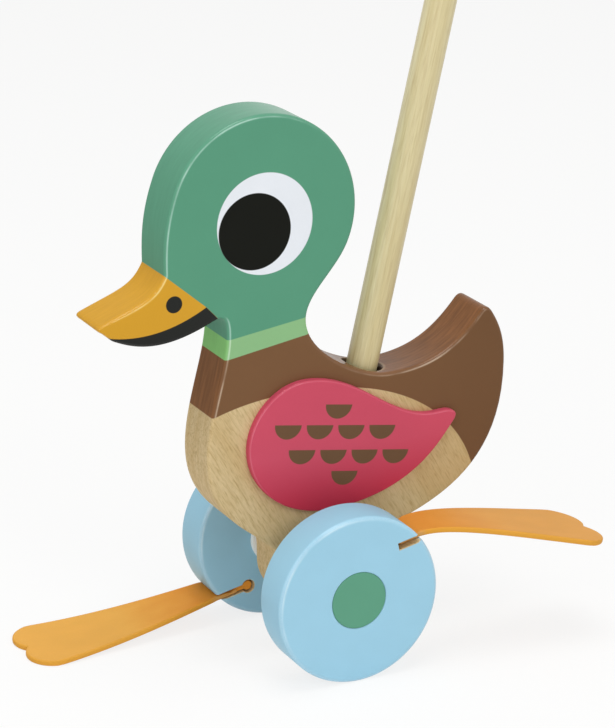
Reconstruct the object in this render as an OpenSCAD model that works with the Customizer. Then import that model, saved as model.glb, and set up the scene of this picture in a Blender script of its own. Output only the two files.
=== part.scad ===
// Duck push toy: a painted duck board on two wheels, pushed along by a wooden rod.
// A soft strap foot sits in a saw kerf in each wheel and slaps the floor as the wheels turn.
// The origin is the floor point under the middle of the axle. The duck faces -X, its own
// left side is at -Y, and +Z is up. Sizes are in millimetres.

/* [Body board] */
// Thickness of the duck's board
board_thickness = 22; // [19:0.5:23]
// Radius of the round head
head_radius = 37.4; // [36:0.1:39]
// Radius of the tab that carries the axle
tab_radius = 16.5; // [15:0.5:18]

/* [Wings] */
// Thickness of a wing plate
wing_thickness = 3; // [2.5:0.5:6]

/* [Wheels] */
// Radius of a wheel
wheel_radius = 33; // [32:0.5:35]
// Thickness of a wheel
wheel_thickness = 17; // [15:0.5:18]
// Distance between the outer faces of the two wheels
track_width = 89; // [88:0.5:94]
// Radius of the rounding along a wheel's edges
wheel_edge = 1.5; // [1:0.5:4]
// Radius of the round plug in a wheel's outer face
hub_radius = 11.2; // [9:0.1:12]
// Thickness of that plug
hub_thickness = 3; // [2:0.5:4]

/* [Axle] */
// Diameter of the axle dowel
axle_diameter = 8; // [6:0.5:9]
// Radial clearance between the axle and the board
axle_clearance = 0.06; // [0.02:0.01:0.1]
// Radius of a spacer's flange, beside the wheel
flange_radius = 11; // [9:0.5:13]
// Thickness of a spacer's flange
flange_thickness = 2.5; // [1.5:0.5:4]
// Radius of a spacer's sleeve, beside the board
sleeve_radius = 7; // [6:0.5:8]
// Gap between a spacer and the board
end_play = 0.4; // [0.3:0.1:1]

/* [Push rod] */
// Diameter of the rod
rod_diameter = 12; // [11:0.5:13]
// Whole length of the rod
rod_length = 480; // [300:10:600]
// Lean of the rod towards the tail, in degrees from upright
rod_tilt = 13.1; // [8:0.1:16]
// Depth of the rod's socket below the duck's back
socket_depth = 40; // [30:1:44]
// Width of the flare round the socket's mouth
socket_flare = 2; // [1:0.5:3]
// Radius of the ball at the top of the rod
knob_radius = 17; // [14:0.5:22]
// Depth of the hole in that ball
knob_hole = 22; // [16:1:24]

/* [Feet] */
// Thickness of the strap that a foot is cut from
strap_thickness = 2.2; // [1.4:0.1:2.4]
// Width of the saw kerf in the wheel
kerf_width = 2.6; // [2.4:0.1:3]
// Distance of the left wheel's kerf from the axle's centre
left_kerf_offset = 14.5; // [13:0.1:16]
// Distance of the right wheel's kerf from the axle's centre
right_kerf_offset = 16.4; // [14:0.1:17]
// Angle of the kerf, in degrees from level
kerf_angle = 12.5; // [8:0.5:16]
// Length of the kerf, from the wheel's rim inwards
kerf_depth = 9.7; // [8:0.1:11]
// Shift of the left strap's root along its kerf, towards the duck
left_strap_shift = 2.5; // [0:0.1:3]
// Shift of the right strap's root along its kerf, towards the duck
right_strap_shift = 0; // [0:0.1:3]
// Radius of the round hole at the kerf's inner end
keyhole_radius = 2.6; // [2.4:0.1:3]
// Depth of that hole, from the wheel's inner face
keyhole_depth = 10; // [6:1:12]
// Half width of a foot where it leaves the wheel
foot_root_half = 8.4; // [7:0.1:8.5]
// Half width of a foot across the toes
foot_toe_half = 18.2; // [15:0.1:18.5]
// Radius of one rounded toe
toe_radius = 11; // [9:0.5:12]
// Distance of the toe tips from the axle, along the duck
toe_reach = 104.5; // [100:0.5:108]

/* [Hidden] */
$fn = 64;

// Steps along each drawn curve and along a small rounding
curve_steps = 10;
edge_steps = 6;
// How far a cutting shape runs past the face that it cuts
past = 1;

// Heights and places that follow from the sizes above
axle_height = wheel_radius;
axle_radius = axle_diameter / 2;
half_board = board_thickness / 2;
wheel_outer = track_width / 2;
wheel_inner = wheel_outer - wheel_thickness;
wheel_middle = (wheel_outer + wheel_inner) / 2;
axle_half_length = wheel_outer - hub_thickness;

// The rod leaves the back at this point, given along the duck and up from the axle
rod_foot = [23.3, 75.6];
rod_radius = rod_diameter / 2;
// The rod's slack in its socket, and the depth of the flare at the socket's mouth
rod_fit = 0.05;
socket_mouth_depth = 4;

// The kerf's frame is turned by kerf_angle about the axle, with the kerf along its x. The
// keyhole's centre lies this far inside the kerf's end.
keyhole_setback = 3;
// The strap's slack at the kerf's end, and how far an unshifted strap lies below the wheel's faces
kerf_slack = 0.3;
strap_recess = 0.3;
// The foot bends about a line just outside the rim, where root and foot leave a gap
bend_clear = 1.5;
bend_gap = 0.35;

// Places along a kerf that lies at an offset from the axle's centre
function rim_reach(offset) = sqrt(wheel_radius ^ 2 - offset ^ 2);
function kerf_end(offset) = rim_reach(offset) - kerf_depth;
function keyhole_reach(offset) = kerf_end(offset) - keyhole_setback;
function bend_reach(offset) = rim_reach(offset) + bend_clear;

// The bend's line, seen from the side and up from the axle
function bend_point(offset) = [
    bend_reach(offset) * cos(kerf_angle) - offset * sin(kerf_angle),
    bend_reach(offset) * sin(kerf_angle) + offset * cos(kerf_angle)
];

// Outline of the duck, in points along the duck and up from the axle. Each curve lists its
// start, its two handles and its end, and runs on from the end of the curve before it.
head_centre = [-22.4, 143.3];
nape_angle = -22;
nape_end = head_centre + head_radius * [cos(nape_angle), sin(nape_angle)];
nape_pull = 12;
nape_handle = nape_end - nape_pull * [-sin(nape_angle), cos(nape_angle)];
brow_angle = 160;
brow = head_centre + head_radius * [cos(brow_angle), sin(brow_angle)];
brow_pull = 11.4;
brow_handle = brow + brow_pull * [-sin(brow_angle), cos(brow_angle)];
forehead = [brow, brow_handle, [-62.5, 137.3], [-62.2, 125.3]];
bill_top = [[-62.2, 125.3], [-66.6, 116.3], [-72.1, 116.2], [-86.8, 109.9]];
bill_tip = [[-86.8, 109.9], [-88.8, 109], [-88.8, 107.8], [-86.8, 107]];
bill_under = [[-82.7, 103.5], [-73.2, 98.9], [-62.2, 96.2], [-42.3, 105.5]];
throat = [[-42.3, 105.5], [-38.7, 107.2], [-37.4, 105.5], [-37.4, 98.7]];
chest = [[-37.4, 98.7], [-37.4, 86.7], [-46.1, 67.6], [-46.1, 51]];
belly_front = [[-46.1, 51], [-46.1, 26.9], [-28, 21.2], [-18, 10.6]];
tab_front = [[-18, 10.6], [-tab_radius, 9], [-tab_radius, 7], [-tab_radius, 0]];
tab_rear = [[tab_radius, 0], [tab_radius, 5], [17.5, 7], [22, 9]];
belly_rear = [[22, 9], [40.1, 17], [79.9, 21.9], [79.9, 71.9]];
tail_rear = [[79.9, 71.9], [79.9, 79.9], [78.5, 85.8], [74.5, 92.1]];
tail_tip = [[74.5, 92.1], [73, 94.9], [71, 95.6], [69, 93.6]];
tail_top = [[69, 93.6], [59.5, 82.4], [49.4, 74.8], [29.6, 74.8]];
back = [[29.6, 74.8], [17.7, 74.8], [-5.2, 86.8], [-5.2, 100.6]];
nape = [[-5.2, 100.6], [-5.2, 110.5], nape_handle, nape_end];

// Outline of a wing, a drop with its point towards the tail
wing_curves = [
    [[54.7, 50.5], [47.4, 40.5], [35, 26.4], [5, 24.9]],
    [[5, 24.9], [-14.9, 23.9], [-30.6, 37.2], [-30.6, 53.2]],
    [[-30.6, 53.2], [-30.6, 65.5], [-19.7, 77.9], [-6.3, 77.9]],
    [[-6.3, 77.9], [16, 77.9], [29, 56.7], [47.5, 57]],
    [[47.5, 57], [51.2, 57.1], [53.3, 57.5], [55.1, 56.8]],
    [[55.1, 56.8], [59.3, 55.4], [55.7, 51.9], [54.7, 50.5]]
];

// Middle line of each foot's strap, seen from the side and up from the axle: the left foot
// trails behind and droops, and the right foot reaches forward and lies on the floor.
floor_line = strap_thickness / 2 - wheel_radius;
left_bend = bend_point(left_kerf_offset);
right_bend = -bend_point(right_kerf_offset);
left_foot_line = [left_bend, [39, 23.9], [70, 15], [toe_reach, 7]];
right_foot_line = [right_bend, [-50, -27.3], [-78, floor_line], [-toe_reach, floor_line]];
toe_centre = [toe_reach - toe_radius, foot_toe_half - toe_radius];

// Points along a circle from one angle to another
function arc(centre, radius, from, to, steps) = [
    for (i = [0:steps])
        let (a = from + (to - from) * i / steps)
        centre + radius * [cos(a), sin(a)]
];

// The point at share t of a curve with two handles
function curve_point(p, t) =
    (1 - t) ^ 3 * p[0] + 3 * (1 - t) ^ 2 * t * p[1] + 3 * (1 - t) * t ^ 2 * p[2] + t ^ 3 * p[3];

// The direction of that curve, as a unit vector
function curve_way(p, t) =
    let (d = (1 - t) ^ 2 * (p[1] - p[0]) + 2 * (1 - t) * t * (p[2] - p[1]) + t ^ 2 * (p[3] - p[2]))
    d / norm(d);

// Points along a curve, without its first one
function curve(p) = [for (i = [1:curve_steps]) curve_point(p, i / curve_steps)];

// A strip of even width along a whole curve
function strip(p, width) = [
    for (side = [1, -1])
        for (i = [0:curve_steps])
            let (t = (side > 0 ? i : curve_steps - i) / curve_steps)
            let (way = curve_way(p, t))
            curve_point(p, t) + side * width / 2 * [-way[1], way[0]]
];

// Stands a flat outline up, with its own y as height, and gives it a thickness from y = 0 to y = -t
module stand(thickness) {
    rotate([90, 0, 0])
        linear_extrude(thickness)
            children();
}

// Puts a shape at the axle's height
module on_axle() {
    translate([0, 0, axle_height])
        children();
}

// Turns a left part of the wheels into the right one, half a turn on
module opposite() {
    on_axle()
        rotate([0, 180, 0])
            mirror([0, 1, 0])
                translate([0, 0, -axle_height])
                    children();
}

// Turns a shape drawn round Z to run from a place on Y outwards to the left
module along_left(from) {
    on_axle()
        translate([0, -from, 0])
            rotate([90, 0, 0])
                children();
}

// Turns a shape into the frame of the kerf, seen from the left side
module in_kerf() {
    on_axle()
        rotate([0, -kerf_angle, 0])
            children();
}

module duck_outline() {
    polygon(concat(
        arc(head_centre, head_radius, nape_angle, brow_angle, 4 * curve_steps),
        curve(forehead), curve(bill_top), curve(bill_tip),
        [bill_under[0]], curve(bill_under), curve(throat), curve(chest),
        curve(belly_front), curve(tab_front),
        arc([0, 0], tab_radius, 180, 360, 2 * curve_steps),
        curve(tab_rear), curve(belly_rear), curve(tail_rear), curve(tail_tip),
        curve(tail_top), curve(back), curve(nape)
    ));
}

// Places a shape on the rod's own line, with z = 0 at the bottom of the socket
module on_rod() {
    on_axle()
        translate([rod_foot[0], 0, rod_foot[1]])
            rotate([0, rod_tilt, 0])
                translate([0, 0, -socket_depth])
                    children();
}

module rod_socket() {
    on_rod()
        union() {
            cylinder(h = socket_depth + 2 * rod_diameter, r = rod_radius + rod_fit);
            translate([0, 0, socket_depth - socket_mouth_depth])
                cylinder(h = 2 * socket_mouth_depth, r1 = rod_radius + rod_fit,
                         r2 = rod_radius + rod_fit + 2 * socket_flare);
        }
}

module body_board() {
    color("sienna")
        difference() {
            on_axle()
                translate([0, half_board, 0])
                    stand(board_thickness)
                        duck_outline();
            along_left(-half_board - past)
                cylinder(h = board_thickness + 2 * past, r = axle_radius + axle_clearance);
            rod_socket();
        }
}

module left_wing() {
    color("crimson")
        on_axle()
            translate([0, -half_board, 0])
                stand(wing_thickness)
                    polygon([for (c = wing_curves) each curve(c)]);
}

module right_wing() {
    mirror([0, 1, 0])
        left_wing();
}

module push_rod() {
    color("wheat")
        on_rod()
            cylinder(h = rod_length, r = rod_radius);
}

module rod_knob() {
    color("burlywood")
        on_rod()
            difference() {
                translate([0, 0, rod_length - knob_hole + knob_radius])
                    sphere(r = knob_radius);
                translate([0, 0, rod_length - 2 * knob_hole])
                    cylinder(h = 2 * knob_hole, r = rod_radius);
            }
}

module axle() {
    color("tan")
        along_left(-axle_half_length)
            cylinder(h = 2 * axle_half_length, r = axle_radius);
}

// A wheel's section, from the axle's hole to the rim, with rounded edges
module wheel_section() {
    far = wheel_radius - wheel_edge;
    polygon(concat(
        [[axle_radius, 0]],
        arc([far, wheel_edge], wheel_edge, -90, 0, edge_steps),
        arc([far, wheel_thickness - wheel_edge], wheel_edge, 0, 90, edge_steps),
        [[axle_radius, wheel_thickness]]
    ));
}

// A left wheel whose kerf lies at an offset from the axle's centre
module wheel(offset) {
    color("skyblue")
        difference() {
            along_left(wheel_inner)
                rotate_extrude()
                    wheel_section();
            along_left(wheel_outer - hub_thickness)
                cylinder(h = hub_thickness + past, r = hub_radius);
            in_kerf()
                translate([kerf_end(offset), -wheel_outer - past, offset - kerf_width / 2])
                    cube([wheel_radius, wheel_thickness + 2 * past, kerf_width]);
            in_kerf()
                translate([keyhole_reach(offset), past - wheel_inner, offset])
                    rotate([90, 0, 0])
                        cylinder(h = keyhole_depth + past, r = keyhole_radius);
            in_kerf()
                translate([keyhole_reach(offset), -wheel_inner - keyhole_depth, offset - kerf_width / 2])
                    cube([kerf_depth, keyhole_depth + past, kerf_width]);
        }
}

module left_wheel() {
    wheel(left_kerf_offset);
}

module right_wheel() {
    opposite()
        wheel(right_kerf_offset);
}

module left_hub_plug() {
    color("seagreen")
        along_left(wheel_outer - hub_thickness)
            cylinder(h = hub_thickness, r = hub_radius);
}

module right_hub_plug() {
    opposite()
        left_hub_plug();
}

module left_spacer() {
    length = wheel_inner - half_board - end_play;
    color("white")
        along_left(half_board + end_play)
            rotate_extrude()
                polygon([
                    [axle_radius, 0], [sleeve_radius, 0],
                    [sleeve_radius, length - flange_thickness],
                    [flange_radius, length - flange_thickness],
                    [flange_radius, length], [axle_radius, length]
                ]);
}

module right_spacer() {
    opposite()
        left_spacer();
}

// The part of a left foot's strap that is held in the wheel: a bead, the strap and its round end
module foot_root(offset, shift) {
    half = strap_thickness / 2;
    width = wheel_thickness - 2 * strap_recess;
    start = kerf_end(offset) + kerf_slack;
    color("darkorange")
        in_kerf()
            union() {
                translate([keyhole_reach(offset), -wheel_inner - strap_recess, offset])
                    rotate([90, 0, 0])
                        cylinder(h = keyhole_depth - strap_recess, r = keyhole_radius);
                translate([keyhole_reach(offset), -wheel_inner - keyhole_depth, offset - half])
                    cube([kerf_depth, keyhole_depth - strap_recess, strap_thickness]);
                translate([start, strap_recess + shift - wheel_outer, offset - half])
                    cube([bend_reach(offset) - start, width, strap_thickness]);
                translate([bend_reach(offset), strap_recess + shift - wheel_outer + width, offset])
                    rotate([90, 0, 0])
                        cylinder(h = width, r = half);
            }
}

module left_foot_root() {
    foot_root(left_kerf_offset, left_strap_shift);
}

module right_foot_root() {
    opposite()
        foot_root(right_kerf_offset, right_strap_shift);
}

// A foot seen from above: a strap that widens from its root to two rounded toes
module foot_plan(root, shift) {
    union() {
        polygon([
            [0, shift - foot_root_half], [root, shift - foot_root_half],
            [toe_centre[0], -foot_toe_half], [toe_centre[0], foot_toe_half],
            [root, shift + foot_root_half], [0, shift + foot_root_half]
        ]);
        for (side = [-1, 1])
            translate([toe_centre[0], side * toe_centre[1]])
                circle(r = toe_radius);
    }
}

// A foot's free length: its plan, cut from the strap's own curve, less the room for its bend
module foot(line, forward, shift) {
    on_axle()
        difference() {
            intersection() {
                rotate([90, 0, 0])
                    linear_extrude(4 * wheel_outer, center = true)
                        polygon(strip(line, strap_thickness));
                translate([0, -forward * wheel_middle, -2 * wheel_radius])
                    linear_extrude(4 * wheel_radius)
                        scale([forward, 1])
                            foot_plan(forward * line[0][0], forward * shift);
            }
            translate([line[0][0], 2 * wheel_outer, line[0][1]])
                rotate([90, 0, 0])
                    cylinder(h = 4 * wheel_outer, r = strap_thickness / 2 + bend_gap);
        }
}

module left_foot() {
    color("orange")
        foot(left_foot_line, 1, left_strap_shift);
}

module right_foot() {
    color("orange")
        foot(right_foot_line, -1, right_strap_shift);
}

body_board();
left_wing();
right_wing();
push_rod();
rod_knob();
axle();
left_wheel();
right_wheel();
left_hub_plug();
right_hub_plug();
left_spacer();
right_spacer();
left_foot_root();
right_foot_root();
left_foot();
right_foot();
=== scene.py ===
"""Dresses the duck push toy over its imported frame.

Lengths in the classes are millimetres: x runs along the duck, which faces -X, y across it, with
its own left side at -Y, and z up from the axle. A mesh is put into metres above the floor when
it is made.
"""
import logging
import math
from dataclasses import dataclass, field
from enum import Enum
from typing import Any, Sequence, Union

import bmesh
import bpy
import numpy as np
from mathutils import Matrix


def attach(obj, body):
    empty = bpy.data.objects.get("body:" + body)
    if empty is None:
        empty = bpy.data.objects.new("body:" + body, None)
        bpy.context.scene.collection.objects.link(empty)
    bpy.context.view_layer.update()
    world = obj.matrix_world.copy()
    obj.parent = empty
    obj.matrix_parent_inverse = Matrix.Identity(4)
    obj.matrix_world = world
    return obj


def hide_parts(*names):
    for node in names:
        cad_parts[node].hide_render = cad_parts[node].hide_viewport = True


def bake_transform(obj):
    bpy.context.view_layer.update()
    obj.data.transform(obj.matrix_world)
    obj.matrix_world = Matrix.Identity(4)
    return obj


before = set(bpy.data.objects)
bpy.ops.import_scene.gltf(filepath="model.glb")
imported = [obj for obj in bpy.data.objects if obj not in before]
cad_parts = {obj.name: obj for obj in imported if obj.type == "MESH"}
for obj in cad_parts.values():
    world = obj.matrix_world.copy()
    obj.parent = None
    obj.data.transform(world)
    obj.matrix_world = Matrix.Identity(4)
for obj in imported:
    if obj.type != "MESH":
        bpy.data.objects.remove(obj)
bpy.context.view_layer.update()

log = logging.getLogger("duck_push_toy")

Array = np.ndarray
Point = tuple[float, float]
Socket = bpy.types.NodeSocket
Number = Union["Value", float]
Colour = Union["Tint", Socket]

MM = 0.001
AXLE_HEIGHT = 33.0
HALF_BOARD = 11.0
ROD_FOOT = (23.3, 75.6)
ROD_TILT = 13.1
HOLE_REACH = 10.0
FLAT_LIP = 0.4
FULL_TURN = 2 * math.pi
NEARLY_ALONG = 0.9


class Side(Enum):
    """The duck's own left and right, by the sign of their y."""

    LEFT = -1
    RIGHT = 1

    @property
    def word(self) -> str:
        """The side's name, as the frame's nodes spell it."""
        return self.name.lower()

    @property
    def turn(self) -> float:
        """1 for the left side, which the shapes are drawn for, and -1 for the right one."""
        return -float(self.value)


class Tint(Enum):
    """The toy's colours, as they are seen on a screen."""

    HEAD_GREEN = "#59967a"
    COLLAR_GREEN = "#8bb884"
    # A deeper copy of the collar green, painted shade on its walls.
    COLLAR_SHADED = "#86c575"
    BILL_ORANGE = "#d09b30"
    BROWN = "#77563b"
    # A deeper copy of the brown, painted shade on the walls.
    BROWN_SHADED = "#80522c"
    MOUTH_BLACK = "#292a28"
    PUPIL_BLACK = "#181915"
    EYE_WHITE = "#e2e6ec"
    WING_PINK = "#c84f64"
    # The wing's painted shade colour, near its lower edge.
    WING_SHADED = "#b82b42"
    DISC_BROWN = "#6b503a"
    WHEEL_BLUE = "#9dcbe1"
    HUB_GREEN = "#609c81"
    BEECH_LIGHT = "#d6c096"
    BEECH_MID = "#c8ae7f"
    BEECH_FLECK = "#a1854f"
    # Painted shadow inside the rod's hole.
    HOLE_SHADOW = "#3d2c1d"
    ROD_LIGHT = "#dbd1a7"
    ROD_MID = "#cbbc8c"
    ROD_STREAK = "#b6a274"
    LEATHER_TOP = "#dfa151"
    LEATHER_ROOT = "#de933e"
    LEATHER_EDGE = "#da9d3b"
    LEATHER_RAW = "#cb9c5c"
    # The front foot's leather, a lighter, yellower copy of the rear one's: painted light.
    FRONT_LEATHER_TOP_LIT = "#e8ad52"
    FRONT_LEATHER_ROOT_LIT = "#eb993b"
    SPACER_WHITE = "#f6f6f2"
    FLOOR_WHITE = "#f4f4f2"

    @property
    def rgba(self) -> tuple[float, float, float, float]:
        """The colour as linear light, by the screen's sRGB curve.

        Returns:
            Red, green, blue and full cover.
        """
        parts = [int(self.value[i:i + 2], 16) / 255.0 for i in (1, 3, 5)]
        line = [c / 12.92 if c <= 0.04045 else ((c + 0.055) / 1.055) ** 2.4 for c in parts]
        return (line[0], line[1], line[2], 1.0)


def bezier(points: Sequence[Sequence[float]], steps: int = 24) -> Array:
    """Points along a curve with two handles, without its first point.

    The place at share t is (1-t)^3 A + 3 (1-t)^2 t B + 3 (1-t) t^2 C + t^3 D.

    Args:
        points: The curve's start, its two handles and its end.
        steps: How many points are returned.

    Returns:
        The points, one in a row.
    """
    t = np.linspace(0.0, 1.0, steps + 1)[1:, None]
    a, b, c, d = np.asarray(points, float)
    return (1 - t) ** 3 * a + 3 * (1 - t) ** 2 * t * b + 3 * (1 - t) * t ** 2 * c + t ** 3 * d


def chain(start: Sequence[float], legs: Sequence[Sequence[Sequence[float]]]) -> Array:
    """Points along curves that each run on from the last one, without the first point.

    Args:
        start: Where the first curve starts.
        legs: Each curve's two handles and its end.

    Returns:
        The points, one in a row.
    """
    starts = [start, *(leg[-1] for leg in legs[:-1])]
    return np.vstack([bezier([first, *leg]) for first, leg in zip(starts, legs)])


def arc(centre: Sequence[float], radius: float, start: float, stop: float, steps: int) -> Array:
    """Points on a circle, centre + radius (cos a, sin a).

    Args:
        centre: The circle's centre.
        radius: Its radius.
        start: The first angle, in degrees.
        stop: The last angle, in degrees.
        steps: The number of steps between them.

    Returns:
        The points, one in a row.
    """
    angle = np.radians(np.linspace(start, stop, steps + 1))
    return np.asarray(centre) + radius * np.column_stack([np.cos(angle), np.sin(angle)])


def respaced(points: Array, count: int, focus: Point = (0.0, 0.0), crowd: float = 0.0,
             reach: float = 12.0) -> Array:
    """Spaces a closed outline's points by its own length, and runs it anticlockwise.

    Each stretch counts 1 + crowd exp(-(distance from the focus / reach)^2) times its length.

    Args:
        points: The outline's points.
        count: How many points the result has.
        focus: The place where the points stand closer.
        crowd: How many times closer, less one.
        reach: How far from the focus that is felt.

    Returns:
        The new points, one in a row.
    """
    loop = np.vstack([points, points[:1]])
    if np.sum(loop[:-1, 0] * loop[1:, 1] - loop[1:, 0] * loop[:-1, 1]) < 0:
        loop = loop[::-1]
    step = np.diff(loop, axis=0)
    away = np.linalg.norm(loop[:-1] + step / 2 - np.asarray(focus), axis=1)
    length = np.linalg.norm(step, axis=1) * (1 + crowd * np.exp(-((away / reach) ** 2)))
    total = np.concatenate([[0.0], np.cumsum(length)])
    at = np.linspace(0.0, total[-1], count, endpoint=False)
    return np.column_stack([np.interp(at, total, loop[:, i]) for i in (0, 1)])


def upright(flat: Array, across: Array) -> Array:
    """Stands places (x, z) of the board's plane up at their y."""
    return np.stack([flat[..., 0], np.broadcast_to(across, flat.shape[:-1]), flat[..., 1]], -1)


def ring_quads(rings: int, count: int, first: int = 0) -> list[list[int]]:
    """The quads between closed rings of points.

    Args:
        rings: How many rings follow each other.
        count: How many points each ring has.
        first: The number of the first ring's first point.

    Returns:
        Each quad's four corners.
    """
    here = np.arange(first, first + rings * count).reshape(rings, count)
    ahead = np.roll(here, -1, axis=1)
    corners = np.stack([here[:-1], ahead[:-1], ahead[1:], here[1:]], -1)
    return corners.reshape(-1, 4).tolist()


def enter(name: str, data: bpy.types.ID) -> bpy.types.Object:
    """Puts a new object into the scene.

    Args:
        name: Its name.
        data: Its mesh, lamp or camera.

    Returns:
        The object, at the origin.
    """
    thing = bpy.data.objects.new(name, data)
    bpy.context.scene.collection.objects.link(thing)
    return thing


@dataclass
class Surface:
    """A piece's mesh in the making.

    Attributes:
        points: The points in millimetres, one in a row.
        faces: Each face's corners.
        marks: Numbers or vectors kept at each point, by name.
    """

    points: Array
    faces: list[list[int]]
    marks: dict[str, Array] = field(default_factory=dict)

    DOUBLES = 1e-7
    CREASE = 32.0

    @staticmethod
    def from_rings(grid: Array, marks: dict[str, Array]) -> "Surface":
        """Joins closed rings by quads and closes both ends with one flat face each.

        Args:
            grid: The rings, as an array of ring by point by place.
            marks: Numbers for each point of the grid.

        Returns:
            The closed surface.
        """
        rings, count = grid.shape[:2]
        last = (rings - 1) * count
        ends = [list(range(count))[::-1], list(range(last, last + count))]
        flat = {name: values.reshape(rings * count, -1) for name, values in marks.items()}
        return Surface(grid.reshape(-1, 3), ring_quads(rings, count) + ends, flat)

    def make(self, name: str, finish: "Finish") -> bpy.types.Object:
        """Makes the object, with its doubles merged, its faces outwards and its marks kept.

        Edges that turn by more than the crease's degrees stay sharp.

        Args:
            name: The piece's name.
            finish: What it is finished with.

        Returns:
            The object, at the origin.
        """
        mesh = bpy.data.meshes.new(name)
        placed = (self.points + np.array([0.0, 0.0, AXLE_HEIGHT])) * MM
        mesh.from_pydata(placed.tolist(), [], self.faces)
        for mark, values in self.marks.items():
            wide = values.size == 3 * len(placed)
            layer = mesh.attributes.new(mark, "FLOAT_VECTOR" if wide else "FLOAT", "POINT")
            numbers = values.astype(np.float32).ravel()
            layer.data.foreach_set("vector" if wide else "value", numbers)
        work = bmesh.new()
        work.from_mesh(mesh)
        bmesh.ops.remove_doubles(work, verts=work.verts, dist=self.DOUBLES)
        bmesh.ops.recalc_face_normals(work, faces=work.faces)
        work.to_mesh(mesh)
        work.free()
        mesh.shade_smooth()
        mesh.set_sharp_from_angle(angle=math.radians(self.CREASE))
        mesh.materials.append(finish.material())
        return enter(name, mesh)


def turned(profile: Array, origin: Sequence[float], axis: Sequence[float],
           steps: int = 96) -> Surface:
    """A turned piece: origin + h axis + r (cos a side + sin a up) for each profile point (r, h).

    Args:
        profile: Radius and place along the axis of each ring, one in a row.
        origin: Where the axis starts.
        axis: The axis's direction.
        steps: Points round each ring.

    Returns:
        The closed surface.
    """
    way = np.asarray(axis, float) / np.linalg.norm(axis)
    along_y = abs(way[1]) >= NEARLY_ALONG
    side = np.cross(way, [1.0, 0.0, 0.0] if along_y else [0.0, 1.0, 0.0])
    side = side / np.linalg.norm(side)
    up = np.cross(way, side)
    angle = np.linspace(0.0, FULL_TURN, steps, endpoint=False)
    spoke = np.cos(angle)[:, None] * side + np.sin(angle)[:, None] * up
    radius, height = profile.T[..., None, None]
    return Surface.from_rings(np.asarray(origin) + height * way + radius * spoke, {})


@dataclass(frozen=True)
class Rounding:
    """A quarter round from a face, at an angle a of 90 degrees, over to the wall, at 0.

    Attributes:
        rows: How many rows of points it has.
    """

    rows: int

    LIP = math.radians(70.0)
    LIP_WIDTH = math.radians(14.0)

    @property
    def angle(self) -> Array:
        """Each row's angle a."""
        return np.linspace(math.pi / 2, 0.0, self.rows)

    @property
    def inset(self) -> Array:
        """How far in from the wall each row lies, 1 - cos a."""
        return 1 - np.cos(self.angle)

    @property
    def below(self) -> Array:
        """How far below the face each row lies, 1 - sin a."""
        return 1 - np.sin(self.angle)

    @property
    def edge(self) -> Array:
        """The edge mark, sin 2a, which is highest halfway round."""
        return np.sin(2 * self.angle)

    @property
    def wall(self) -> Array:
        """The wall mark, cos a squared."""
        return np.cos(self.angle) ** 2

    @property
    def lip(self) -> Array:
        """The lip mark, a narrow band near the face: 1 at its angle, 0 beyond its width."""
        return np.clip(1 - np.abs(self.angle - self.LIP) / self.LIP_WIDTH, 0.0, 1.0)


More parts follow.
